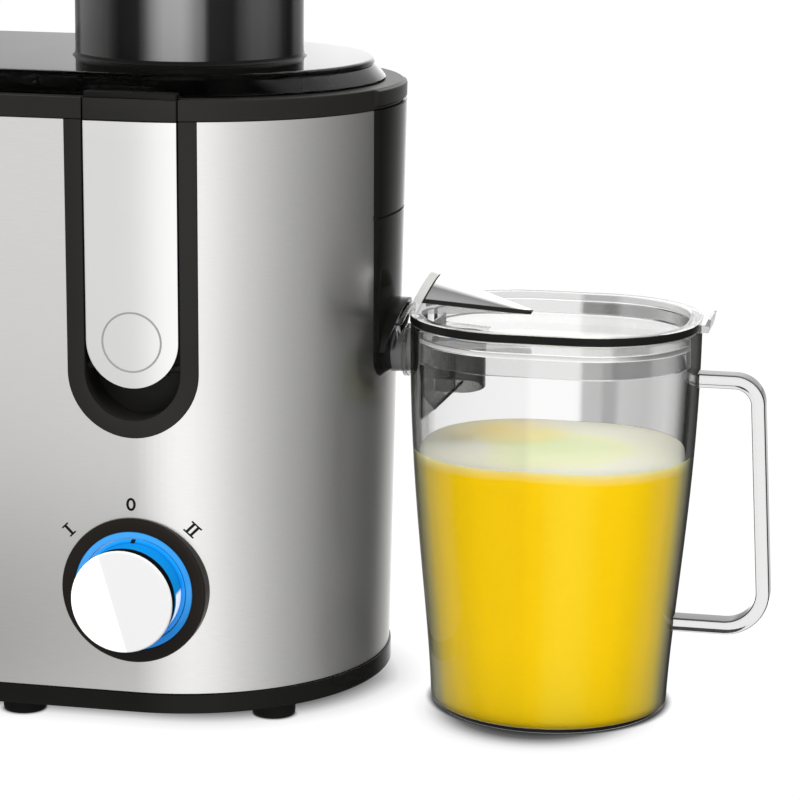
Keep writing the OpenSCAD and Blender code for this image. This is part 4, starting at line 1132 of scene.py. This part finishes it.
def make_feet():
    profile = fillet([(0.01, 0), (7.9, 0), (8.25, 1.4), (8.25, 9.7), (0.01, 9.7)], [0, 0.6, 0.4, 0.2, 0], 3)
    places = ((43.6, -42.2), (43.6, 42.2), (-49.5, -57.8), (-49.5, 57.8))
    parts = [lathe_z(profile, 48, True, x, y) for x, y in places]
    dress("rubber_foot_pads", parts, RUBBER, "base", "rubber_feet", "rubber")


# ------------------------------------------------------------------ latches

def guide_depth(z):
    """How deep the guide's floor lies: a finger recess below, shallow above."""
    return 14.8 if z < RECESS_TOP else 7.0


def make_latch_guide(name, side, node):
    lip = fillet([(GUIDE_HW, 1.0), (GUIDE_HW, -0.35), (GUIDE_INNER_HW, -0.35), (GUIDE_INNER_HW, 5)],
                 [0, 0.35, 0.55, 0], 3)
    loops = [[front_surface(x, z, depth, side) for x, z in guide_path(half_w)] for half_w, depth in lip]
    for half_w, more in ((GUIDE_INNER_HW, 0), (GUIDE_INNER_HW - 0.8, 0), (12, 0.15), (7, 0.15), (0.01, 0.15)):
        loops.append([front_surface(x, z, guide_depth(z) + more, side) for x, z in guide_path(half_w)])
    guide = build(name, [link_loops(loops, False, False)], COLLAR_BLACK)
    thicken(guide, 1.1, side=side)
    wear(shade(guide, weighted=False), "base", node, slot="gloss_black")


def guide_path(half_w):
    """The guide's U with two close points on each leg where its floor steps from recess to channel."""
    path = u_path(half_w)
    above, under = RECESS_TOP + 0.05, RECESS_TOP - 0.05
    out = []
    for (x, z), (_, after) in zip(path, path[1:]):
        out.append((x, z))
        if (z - RECESS_TOP) * (after - RECESS_TOP) < 0:
            out += [(x, above), (x, under)] if z > after else [(x, under), (x, above)]
    return out + [path[-1]]


def latch_rows(depth, half_w=LATCH_HW, top_z=LATCH_TOP_Z):
    """Rows across the latch from its round end to its top."""
    shares = [-1, -0.97, -0.85, -0.6, -0.3, 0, 0.3, 0.6, 0.85, 0.97, 1]
    end_steps, leg_steps, least = 16, 12, 0.02
    rows = []
    for i in range(end_steps + 1):
        turn = math.radians(90 * i / end_steps)
        half = max(half_w * math.sin(turn), least)
        rows.append([(half * s, LATCH_END_Z - half_w * math.cos(turn), depth) for s in shares])
    for i in range(1, leg_steps + 1):
        z = LATCH_END_Z + (top_z - LATCH_END_Z) * i / leg_steps
        rows.append([(half_w * s, z, depth) for s in shares])
    return rows


def make_latch(prefix, side, body, arm_node, plate_node):
    def place(x, z, depth):
        return front_surface(x, z, depth, side)

    plate = build(prefix + "_plate_sheet", [grid(latch_rows(0), place)], PLATE)
    face_out(plate, side)
    thicken(plate, 1.0)
    bevel(plate, 0.35, 3, 60)
    ring_profile = fillet([(10.45, 0.1), (10.45, -0.12), (11.15, -0.12), (11.15, 0.1)], [0, 0.06, 0.06, 0], 2)
    loops = [[place(x, z, depth) for x, z in circle(0, LATCH_END_Z, r, 96)] for r, depth in ring_profile]
    ring = build(prefix + "_ring", [link_loops(loops, True, False)], GREY)
    face_out(ring, side)
    whole = join(prefix + "_silver_plate", plate, ring)
    wear(shade(whole, weighted=False), body, plate_node, slot="silver_plastic")

    below_plate, arm_half_w, arm_top, hook_half_w = 1.06, 16.8, 227.3, 17
    arm = build(prefix + "_arm_sheet", [grid(latch_rows(below_plate, arm_half_w, arm_top), place)],
                SATIN_BLACK)
    face_out(arm, side)
    thicken(arm, 4.0)
    bevel(arm, 0.3, 2, 60)
    hinge_y, hinge_z = LATCH_PIN
    boss = build(prefix + "_boss", [solid(circle(side * hinge_y, hinge_z, 2.9, 32), -12.5, 12.5, along_x)],
                 SATIN_BLACK)
    head_outline = [front_surface(x, 231, 0, side)[:2] for x in (-17, -12, -6, 0, 3, 6, 9, 12, 14.5, 17)]
    head_outline += [(hook_half_w, side * 75.7), (-hook_half_w, side * 75.7)]
    head = build(prefix + "_head", [solid(head_outline, 227.35, 235.1, along_z)], COLLAR_BLACK)
    bevel(head, 0.45, 3, 30)
    toe_outline = [(side * y, z) for y, z in (
        (79.4, 234.9), (79.4, 237.4), (74.5, 237.4), (74.5, 235.7), (75.8, 235.7), (75.8, 234.9))]
    toe = build(prefix + "_toe", [solid(toe_outline, -hook_half_w, hook_half_w, along_x)], LIP_DARK)
    bevel(toe, 0.45, 3, 30)
    whole = join(prefix + "_latch_arm_body", arm, boss, head, toe)
    wear(shade(whole, weighted=False), body, arm_node, slot="black_plastic")


def face_out(piece, side):
    """Turns an open sheet so that its faces look away from the housing's middle."""
    total = sum(polygon.normal.y * polygon.area for polygon in piece.data.polygons)
    if total * side < 0:
        piece.data.flip_normals()


# ------------------------------------------------------------------ dial

def make_dial():
    bezel = fillet([(27.2, 71.5), (27.2, 80.1), (22.35, 80.1), (22.35, 78.5), (19.8, 78.5), (19.8, 73.8),
                    (4.5, 73.8), (4.5, 71.5)], [0, 1.1, 0.3, 0, 0.2, 0, 0, 0], 5)
    dress("dial_bezel_ring", [lathe_y(bezel)], BEZEL_BLACK, "base", "dial_bezel", "gloss_black")

    ring = fillet([(22.25, 78.55), (22.25, 79.75), (19.9, 79.45), (19.9, 78.55)], [0, 0.25, 0.25, 0], 3)
    dress("glowing_ring", [lathe_y(ring)], BLUE, "base", "light_ring", "blue_lens")

    flange = fillet([(3.2, 76.7), (19.5, 76.7), (19.5, 79.3), (18.2, 79.3), (18.2, 78.6), (3.2, 78.6)],
                    [0, 0, 0.3, 0.1, 0, 0], 3)
    flange_piece = build("dial_blue_flange", [lathe_y(flange)], BLUE_DEEP)
    tick_low, tick_high = DIAL_Z + 17.9, DIAL_Z + 19.45
    tick_outline = [(-1.1, tick_low), (0.5, tick_low), (1.1, tick_high), (-0.5, tick_high)]
    tick = build("dial_tick", [solid(tick_outline, -79.6, -78.9, along_y)], SATIN_BLACK)
    bevel(tick, 0.15, 2)
    whole = join("dial_blue_band", flange_piece, tick)
    wear(shade(whole), "dial", "dial_flange", slot="blue_lens")

    skirt_end = KNOB_FACE - 1.4
    skirt = fillet([(0.01, 62), (3, 62), (3, 78.67), (17.9, 78.67), (18.75, skirt_end), (0.01, skirt_end)],
                   [0, 0.3, 0, 0.3, 0.2, 0], 3)
    dress("dial_knob_skirt", [lathe_y(skirt)], KNOB_BLACK, "dial", "dial_knob", "gloss_black")

    cap = fillet([(0.01, skirt_end + 0.02), (18.8, skirt_end + 0.02), (19.0, skirt_end + 0.6),
                  (18.7, KNOB_FACE), (0.01, KNOB_FACE)], [0, 0.2, 0.3, 0.5, 0], 4)
    dress("dial_face_disc", [lathe_y(cap)], FACE, "dial", "dial_face", "silver_plastic")


def mark_loop(ring_sizes):
    """A long O, as rings of (half width, half height, depth)."""
    steps = 40
    turns = [2 * math.pi * i / steps for i in range(steps)]
    return [[(half_w * math.cos(a), half_h * math.sin(a), depth) for a in turns]
            for half_w, half_h, depth in ring_sizes]


def make_dial_marks():
    """Plain 0, I and II round the dial, as thin print on the steel."""
    under, over = 0.05, -0.06
    strokes = {"zero": (-0.9, 87.4, 0), "one": (-24.6, 76.4, 45), "two": (21.4, 78.5, -45)}
    parts = []
    for mark, (cx, cz, tilt) in strokes.items():
        turn = math.radians(tilt)

        def put(u, v, depth):
            x = cx + u * math.cos(turn) - v * math.sin(turn)
            z = cz + u * math.sin(turn) + v * math.cos(turn)
            return front_surface(x, z, depth)

        if mark == "zero":
            loops = mark_loop([(1.8, 2.45, under), (1.8, 2.45, over),
                               (0.85, 1.55, over), (0.85, 1.55, under)])
            parts.append(link_loops([[put(*p) for p in loop] for loop in loops]))
            continue
        stems, reach = ((0,), 1.5) if mark == "one" else ((-1.0, 1.0), 2.4)
        bars = [(s - 0.5, s + 0.5, -2.15, 2.15) for s in stems]
        bars += [(-reach, reach, -2.4, -1.8), (-reach, reach, 1.8, 2.4)]
        for u0, u1, v0, v1 in bars:
            parts.append(solid([(u0, v0), (u1, v0), (u1, v1), (u0, v1)], under, over, put))
    marks = [build("mark", [part], PRINT) for part in parts]
    whole = join("dial_marks", *marks)
    wear(whole, "base", slot="black_plastic")


# ------------------------------------------------------------------ lid, chute and pusher

def plate_with_hole(outline, hole_r, z):
    """A flat face between an outline and a round hole, as triangles."""
    work = bmesh.new()
    edges = []
    for ring in (outline, circle(0, 0, hole_r, 128)):
        verts = [work.verts.new((x, y, z)) for x, y in ring]
        edges += [work.edges.new((verts[i], verts[(i + 1) % len(verts)])) for i in range(len(verts))]
    bmesh.ops.triangle_fill(work, edges=edges, use_beauty=True)
    work.verts.index_update()
    points = [tuple(v.co) for v in work.verts]
    faces = [tuple(v.index for v in face.verts) for face in work.faces]
    work.free()
    return points, faces


def make_lid():
    rim, under_rim = 68.6, 67.0
    outer = [(73.2, LID_Z0), (74.0, LID_Z0 + 0.5), (70.1, 240.6), (69.4, LID_UNDER), (69.05, 241.0),
             (69.05, 241.5), (69.4, 241.65), (70.0, 241.75), (69.95, 242.2), (69.7, 242.7), (69.2, 243.05),
             (rim, LID_Z1)]
    inner = [(under_rim, LID_UNDER), (70.9, LID_Z0)]
    hole = CHUTE_R + 0.25
    parts = [sweep_plan(outer, stadium_plan, closed_profile=False),
             sweep_plan(inner + [outer[0]], stadium_plan, closed_profile=False),
             plate_with_hole(stadium_plan(rim), hole, LID_Z1),
             plate_with_hole(stadium_plan(under_rim), hole, LID_UNDER),
             lathe_z([(hole, LID_Z1), (hole, LID_UNDER)], 128, False)]
    lid = build("lid_shell", parts, SMOKE)
    cut(lid, *notch_cutters(17.6, 71.4, 90, 230, 239))
    wear(shade(lid), "lid_unit", "lid", "lid_skirt", slot="smoke")


def make_lid_ring():
    profile = fillet([(65.2, 230), (66.7, 230), (66.7, 240.8), (65.2, 240.8)], 0.3, 2)
    ring = build("lid_splash_ring", [lathe_z(profile)], SMOKE)
    cut(ring, cutter([(-100, -50), (-40, -50), (-40, 50), (-100, 50)], 229, 249, along_z))
    wear(shade(ring), "lid_unit", "lid_ring", slot="smoke")


def make_chute():
    bore, low, rim = 40, 162, 45
    profile = fillet([(bore, low), (CHUTE_R, low), (CHUTE_R, 244.4), (CHUTE_R, 245.4), (CHUTE_R, 347.4),
                      (rim, 348.4), (rim, CHUTE_TOP), (bore, CHUTE_TOP)],
                     [0.4, 0.4, 0, 0, 0.8, 0.8, 0.8, 0.8], 3)
    chute = build("chute_tube", [lathe_z(profile, 192)], CHUTE_SMOKE)
    foot_profile = [(43.01, 243.25), (44.1, 243.25), (43.7, 243.5), (43.3, 244.0), (43.01, 244.8)]
    foot = build("chute_foot", [lathe_z(foot_profile, 192)], LIP_DARK)
    whole = join("feed_chute_tube", chute, foot)
    wear(shade(whole), "lid_unit", "feed_chute", slot="smoke")


def make_pusher():
    low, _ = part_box("pusher")
    bottom, top = low.z / MM, 352.2
    body = fillet([(0.01, bottom), (37, bottom), (37, top), (34.6, top), (34.6, bottom + 3),
                   (0.01, bottom + 3)], [0, 2.0, 0, 0, 0.5, 0], 4)
    dress("pusher_body", [lathe_z(body)], PUSHER_GREY, "pusher_unit", "pusher", "black_plastic")
    cap = fillet([(31, 352.3), (44.5, 352.3), (44.5, 356.3), (39.2, 356.6), (35, 386.3), (38, 391.2),
                  (0.01, 391.2), (0.01, 386.2), (31, 386.2)], [0, 0.5, 1.5, 2.0, 3.0, 1.5, 0, 0, 0.5], 5)
    dress("pusher_cap_body", [lathe_z(cap)], COLLAR_BLACK, "pusher_unit", "pusher_cap", "gloss_black")


def make_bin():
    right, wall, floor_z = -77.5, 2.2, 3.0
    out_low, out_high = rad(0), rad(COLLAR_Z1)
    outer = fillet([(out_low, 0.0), (out_high, COLLAR_Z1), (out_high - wall, COLLAR_Z1),
                    (out_low - wall + 0.05, floor_z)], [4.0, 0.9, 0.9, 3.0], 4)
    rows = [(0.0, 0.0, right)]
    for r, z in outer:
        sunk = max(0.0, rad(z) - r)
        rows.append((r, z, right - min(sunk, 6.0)))
    rows.append((0.0, floor_z, right - wall))
    shell = [sweep_plan(rows, bin_plan, closed_profile=False)]
    dress("pulp_bin_shell", shell, BIN_SMOKE, "bin_unit", "pulp_bin", "smoke")


# ------------------------------------------------------------------ jug

def jug_share(z):
    """How far the jug's plan has gone from round at its base to squarish at its rim."""
    return math.sin(math.pi / 2 * min(1, max(0, z / JUG_RIM_Z)) ** 0.75) ** 2


def jug_ring(z, inset, plan_z=None):
    """The jug's plan, drawn in by inset: a rounded rectangle that is round at the base."""
    share = jug_share(z if plan_z is None else plan_z)
    a, b, c = [JUG_BASE_R + (size - JUG_BASE_R) * share - inset for size in (JUG_A, JUG_B, JUG_C)]
    points = []
    for quarter, (sx, sy) in enumerate(((1, 1), (-1, 1), (-1, -1), (1, -1))):
        points += arc(JUG_X + sx * (a - c), sy * (b - c), c, 90 * quarter, 90 * quarter + 90, 24)
    return [(x, y, z) for x, y in points]


def jug_rings(*sizes):
    """Rings of the jug's plan from (height, inset) pairs."""
    return [jug_ring(z, inset) for z, inset in sizes]


def make_jug():
    rim, wall = JUG_RIM_Z, JUG_WALL
    levels = [8 + (rim - 8.8) * i / 22 for i in range(23)]
    outer = jug_rings((0, 3.0), (0.2, 1.6), (0.9, 0.6), (2.2, 0.1), (4, 0))
    outer += jug_rings(*[(z, 0) for z in levels], (rim - 0.25, 0.15), (rim, 0.6))
    inner = jug_rings((rim, wall - 0.6), (rim - 0.3, wall - 0.1), *[(z, wall) for z in reversed(levels)])
    inner += jug_rings((5.4, wall + 0.3), (4.0, wall + 1.0), (3.3, wall + 2.2), (3.0, wall + 3.6))
    jug = build("jug_wall", [capped(outer + inner)], JUG_CLEAR)
    inlet = 10.4
    slot = [(-inlet, FAR_ABOVE)] + arc(0, SPOUT_Z, inlet, 180, 360, 32) + [(inlet, FAR_ABOVE)]
    cut(jug, cutter(slot, JUG_X - 70, JUG_X - 35, along_x))
    shade(jug, 40)
    paint(jug, LIP_DARK, lambda centre, normal: centre.z < 1.7 and abs(normal.z) < 0.95)
    wear(jug, "jug_unit", "jug", slot="clear")


def sweep_path(path, section):
    """Carries a closed (across, y) section along an (x, z) path."""
    loops = []
    for i, (x, z) in enumerate(path):
        ahead = Vector(path[min(i + 1, len(path) - 1)])
        behind = Vector(path[max(i - 1, 0)])
        along = (ahead - behind).normalized()
        normal = Vector((-along.y, along.x))
        loops.append([(x + normal.x * u, y, z + normal.y * u) for u, y in section])
    return capped(loops)


def make_handle():
    top_z, low_z, grip_x, lean, thick = 128.6, 33.9, JUG_X + 81.0, 4.3, 5.2
    top_r, low_r = 8.9, 14.4
    top_centre = (grip_x - lean - top_r, top_z - top_r)
    low_centre = (grip_x - low_r, low_z + low_r)
    path = [(JUG_X + 53.4, top_z)] + arc(*top_centre, top_r, 90, -2, 14)
    path += arc(*low_centre, low_r, -2, -90, 14) + [(JUG_X + 46.8, low_z)]
    half = thick / 2
    section = fillet([(-half, -5), (half, -5), (half, 5), (-half, 5)], 1.6, 4)
    dense = []
    for (x0, z0), (x1, z1) in zip(path, path[1:]):
        steps = max(1, int(math.hypot(x1 - x0, z1 - z0) / 4))
        dense += [(x0 + (x1 - x0) * i / steps, z0 + (z1 - z0) * i / steps) for i in range(steps)]
    dense.append(path[-1])
    handle = build("jug_handle_bar", [sweep_path(dense, section)], HANDLE_CLEAR)
    shade(handle, 40)
    # The handle's sides and rounded corners take the painted shade.
    paint(handle, HANDLE_EDGE_SHADE, lambda centre, normal: abs(normal.y) < 0.8)
    wear(handle, "jug_unit", "jug_handle", slot="clear")


def make_separator():
    x0, thick, half, wall = 96.4, 1.3, 12.0, 1.3
    low_z, top_z, shoulder, plate_top = 121, 141.1, 134.2, 147
    behind = x0 + thick
    wide = []
    for z in (113.6, 120, 127, shoulder):
        ring = jug_ring(z, JUG_WALL + 0.15)
        wide.append((max(y for x, y, _ in ring if abs(x - x0) < 3 and y > 0), z))
    outline = [(-w, z) for w, z in wide]
    outline += [(-half, shoulder), (-half, plate_top), (half, plate_top), (half, shoulder)]
    outline += [(w, z) for w, z in reversed(wide)]
    plate = build("separator_plate", [solid(outline, x0, behind, along_x)], SEPARATOR_SMOKE)
    centre = behind + 10

    def bow(deep, across, turns):
        return [(centre + deep * math.sin(math.radians(t)), across * math.cos(math.radians(t)))
                for t in turns]

    round_wall = [(behind, half)] + bow(7.4, half, range(0, 181, 9)) + [(behind, -half)]
    round_wall += [(behind, wall - half)] + bow(6.1, half - wall, range(180, -1, -9))
    round_wall += [(behind, half - wall)]
    chamber = build("separator_chamber", [solid(round_wall, low_z, top_z, along_z)], SEPARATOR_SMOKE)
    foot_outline = [(x0 + 9, low_z + 0.1), (x0 + 7.4, low_z + 0.1), (x0 + 1, 114.9), (x0 - 4.8, 112.8),
                    (x0 - 4.8, 111.4), (x0 + 1.4, 113.4)]
    foot = build("separator_foot", [solid(foot_outline, -10, 10, along_y)], SEPARATOR_SMOKE)
    for part in (plate, chamber, foot):
        bevel(part, 0.3, 2, 50)
    whole = join("froth_plate", plate, chamber, foot)
    wear(shade(whole), "jug_unit", "froth_separator", slot="smoke")


def hood_opening():
    outline = [(72, -15.2), (92, -15.2), (116, -6.5), (116, 6.5), (92, 15.2), (72, 15.2)]
    return cutter(outline, 120, 170, along_z)


def make_jug_lid():
    top, low, dish, skirt = JUG_LID_Z, 147.7, 141.5, 134.6

    def rings(*sizes):
        return [jug_ring(z, inset, JUG_RIM_Z) for z, inset in sizes]

    upper = rings((low, 2.95), (low, 0.1), (low + 0.35, -0.25), (top - 0.8, -0.25), (top - 0.2, -0.05),
                  (top, 0.6), (top, 3.8), (top - 0.3, 4.35), (top - 0.9, 4.5), (dish + 2.0, 4.5),
                  (dish + 1.5, 5.2))
    lower = rings((low, 2.95), (skirt + 0.3, 3.0), (skirt, 3.3), (skirt, 4.2), (skirt + 0.3, 4.5),
                  (dish - 0.3, 4.55), (dish, 5.2))
    lid = build("jug_lid_tray", [capped(upper, first=False), capped(lower, first=False)], JUG_LID_GREY)
    cut(lid, hood_opening())
    tab_x, tab_low, tab_high = JUG_X + 52.5, low + 0.05, top - 0.1
    tab_outline = fillet([(tab_x, tab_low), (JUG_X + 57.9, tab_low), (JUG_X + 58.9, 152.9),
                          (JUG_X + 57.7, 153.1), (JUG_X + 56.8, tab_high), (tab_x, tab_high)],
                         [0, 0.5, 0.4, 0.4, 0.5, 0], 2)
    tab = build("jug_lid_tab", [solid(tab_outline, -10, 10, along_y)], JUG_LID_GREY)
    bevel(tab, 0.3, 2, 50)
    whole = join("jug_lid_cover", lid, tab)
    shade(whole, 40)

    # Painted shade: the rim's front half, outside the tab, is darkened with the dark lip finish.
    def front_edge(centre, normal):
        outward = normal.x * (centre.x - JUG_X) + normal.y * centre.y > 0
        on_rim = low - 0.1 < centre.z < top - 0.1 and abs(normal.z) < 0.9
        return outward and on_rim and centre.y < 8 and centre.x < JUG_X + 54.5

    paint(whole, LIP_DARK, front_edge)
    wear(whole, "jug_lid_unit", "jug_lid", "jug_lid_skirt", slot="smoke")


def make_hood():
    """Half cone over the spout with a slanted mouth."""
    axis_z, base_z = 148.0, 151.0
    mouth_x, mouth_r, tip_r, length = 86.0, 18.9, 3.6, 46.4
    slope = (mouth_r - tip_r) / length
    tip_x = 132.8
    foot_x, foot_z = HOOD_FOOT
    rows = []
    for i in range(41):
        share = -1 + 2 * i / 40
        row = []
        for k in range(31):
            t = k / 30
            x = mouth_x + 5
            for _ in range(6):
                radius = mouth_r - slope * (x - mouth_x)
                limit = math.acos(min(1, (base_z - axis_z) / radius))
                z = axis_z + radius * math.cos(limit * share)
                start = foot_x + (z - foot_z) * HOOD_SLANT
                x = start + (tip_x - start) * t
            row.append((x, radius * math.sin(limit * share), z))
        rows.append(row)
    sheet = build("jug_spout_hood", [link_loops(rows, False, False)], HOOD_GREY)
    if sum(polygon.normal.z for polygon in sheet.data.polygons) < 0:
        sheet.data.flip_normals()
    thicken(sheet, 1.4)
    bevel(sheet, 0.3, 2, 60)
    wear(shade(sheet, 50, weighted=False), "jug_lid_unit", "jug_hood", slot="smoke")


def make_juice():
    """Juice in the jug up to its level, with a crown of foam."""
    inset, top = JUG_WALL - 0.9, JUICE_Z
    rings = jug_rings((1.6, inset + 3.6), (2.0, inset + 2.0), (3.0, inset + 0.9), (5, inset + 0.2))
    rings += jug_rings(*[(8 + (top - 9) * i / 16, inset) for i in range(17)])
    rings += jug_rings((top - 0.1, inset + 0.3), (top - 0.2, inset + 1.5), (top + 0.2, inset + 5),
                       (top + 0.6, inset + 14), (top + 0.9, inset + 30))
    juice = build("orange_juice_fill", [capped(rings)], JUICE)
    wear(shade(juice, 60, weighted=False), "jug_unit", slot="blue_lens")


# ------------------------------------------------------------------ repeated parts by geometry nodes

def ring_rows_tree(item, material):
    """Rows of one item round a cone: counts, radii and heights are named inputs."""
    tree = bpy.data.node_groups.new("rows_round_a_cone", "GeometryNodeTree")
    named = {}
    for name, kind, value in (("Count", "Int", 60), ("Rows", "Int", 10), ("Low Radius", "Float", 0.05),
                              ("High Radius", "Float", 0.06), ("Low Height", "Float", 0.15),
                              ("High Height", "Float", 0.2), ("Tilt", "Float", 0.0)):
        socket = tree.interface.new_socket(name, in_out="INPUT", socket_type="NodeSocket" + kind)
        socket.default_value = value
        named[name] = socket.identifier
    tree.interface.new_socket("Geometry", in_out="OUTPUT", socket_type="NodeSocketGeometry")
    given = tree.nodes.new("NodeGroupInput").outputs
    result = tree.nodes.new("NodeGroupOutput").inputs
    count, rows = given["Count"], given["Rows"]
    line = add(tree, "GeometryNodeMeshLine", {"Count": calc(tree, "MULTIPLY", count, rows)})
    index = add(tree, "GeometryNodeInputIndex").outputs["Index"]
    row = calc(tree, "FLOOR", calc(tree, "DIVIDE", index, count))
    shifted = calc(tree, "ADD", index, calc(tree, "MULTIPLY", row, 0.5))
    turn = calc(tree, "MULTIPLY", calc(tree, "DIVIDE", shifted, count), 2 * math.pi)
    last_row = calc(tree, "MAXIMUM", calc(tree, "SUBTRACT", rows, 1.0), 1.0)
    climb = calc(tree, "DIVIDE", row, last_row)
    radius = span(tree, climb, 0.0, 1.0, given["Low Radius"], given["High Radius"])
    height = span(tree, climb, 0.0, 1.0, given["Low Height"], given["High Height"])
    x = calc(tree, "ADD", calc(tree, "MULTIPLY", calc(tree, "COSINE", turn), radius), AXIS.x)
    y = calc(tree, "ADD", calc(tree, "MULTIPLY", calc(tree, "SINE", turn), radius), AXIS.y)
    place = add(tree, "ShaderNodeCombineXYZ", {"X": x, "Y": y, "Z": height}).outputs["Vector"]
    moved = add(tree, "GeometryNodeSetPosition", {"Geometry": line.outputs["Mesh"], "Position": place})
    facing = add(tree, "ShaderNodeCombineXYZ", {"Y": given["Tilt"], "Z": turn}).outputs["Vector"]
    source = add(tree, "GeometryNodeObjectInfo", {"Object": item}).outputs["Geometry"]
    spread = add(tree, "GeometryNodeInstanceOnPoints", {
        "Points": moved.outputs["Geometry"], "Instance": source, "Rotation": facing})
    real = add(tree, "GeometryNodeRealizeInstances", {"Geometry": spread.outputs["Instances"]})
    painted = add(tree, "GeometryNodeSetMaterial", {
        "Geometry": real.outputs["Geometry"], "Material": material})
    tree.links.new(painted.outputs["Geometry"], result["Geometry"])
    return tree, named


def rows_round(name, item, material, body, slot, **sizes):
    """Makes rows of an item as one mesh on its body; sizes in millimetres, tilt in degrees."""
    tree, named = ring_rows_tree(item, material)
    carrier = bpy.data.objects.new(name, bpy.data.meshes.new(name))
    bpy.context.scene.collection.objects.link(carrier)
    modifier = carrier.modifiers.new("rows", "NODES")
    modifier.node_group = tree
    for key, value in sizes.items():
        label = key.replace("_", " ").title()
        if label == "Tilt":
            value = math.radians(value)
        elif label not in ("Count", "Rows"):
            value = value * MM
        modifier[named[label]] = value
    apply_modifiers(carrier)
    if not carrier.data.materials:
        carrier.data.materials.append(material)
    wear(carrier, body, slot=slot)


def small_item(name, outline, low, high, place):
    """An item at the origin, sizes in millimetres, for rows_round."""
    points, faces = solid(outline, low, high, place)
    mesh = bpy.data.meshes.new(name)
    mesh.from_pydata([Vector(p) * MM for p in points], [], faces)
    mesh.validate()
    return bpy.data.objects.new(name, mesh)


def make_repeated_parts():
    hole = small_item("sieve_hole", circle(0, 0, 0.55, 6), -0.06, 0.12, along_x)
    rows_round("sieve_holes", hole, SATIN_BLACK, "rotor", "black_plastic", count=110, rows=26,
               low_radius=51.1, high_radius=60.2, low_height=154.5, high_height=212, tilt=-9)
    tooth = small_item("grater_tooth", [(-1.4, 0), (1.4, 0), (0.2, 1.5)], -0.35, 0.35, along_y)
    rows_round("grater_teeth", tooth, CHROME, "rotor", "bright_steel", count=34, rows=6,
               low_radius=14, high_radius=43, low_height=150.6, high_height=150.6, tilt=0)
    rib = small_item("cap_rib", [(-0.7, -0.9), (0.5, -0.5), (0.5, 0.5), (-0.7, 0.9)], -11, 11, along_z)
    rows_round("cap_grip_ribs", rib, COLLAR_BLACK, "pusher_unit", "gloss_black", count=44, rows=1,
               low_radius=37.2, high_radius=37.2, low_height=371, high_height=371, tilt=-8)
    for item in (hole, tooth, rib):
        bpy.data.objects.remove(item)


# ------------------------------------------------------------------ make everything

make_steel_wrap()
make_collar()
make_spout_panel()
make_visor()
make_spout()
make_base_tray()
make_feet()
make_latch_guide("front_guide_frame", -1, "front_latch_guide")
make_latch_guide("rear_guide_frame", 1, "rear_latch_guide")
make_latch("front", -1, "front_latch", "front_latch_arm", "front_latch_plate")
make_latch("rear", 1, "rear_latch", "rear_latch_arm", "rear_latch_plate")
make_dial()
make_dial_marks()
make_lid()
make_lid_ring()
make_chute()
make_pusher()
make_bin()
make_jug()
make_handle()
make_separator()
make_jug_lid()
make_hood()
make_juice()
make_repeated_parts()

# Nodes that keep their own shape, by finish.
CAD_FINISHES = {
    ALLOY: ("base_screws", "lower_bracket", "upper_bracket"),
    SATIN_BLACK: ("inner_housing", "front_latch_pin", "rear_latch_pin", "rotary_switch", "lid_switch",
                  "cooling_fan", "drive_coupling"),
    RUBBER: ("cord_inlet", "motor_dampers", "bowl_seal"),
    CHROME: ("motor_shaft", "grater_disc"),
    IRON: ("stator", "rotor_core"),
    COPPER: ("stator_windings", "commutator"),
    BOARD: ("control_board",),
    CARBON: ("carbon_brushes",),
    SMOKE: ("juice_bowl",),
    FILTER: ("filter_basket",),
    WHITE: ("basket_rim",)}
for finish, node_names in CAD_FINISHES.items():
    for node_name in node_names:
        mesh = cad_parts[node_name].data
        mesh.materials.clear()
        mesh.materials.append(finish)
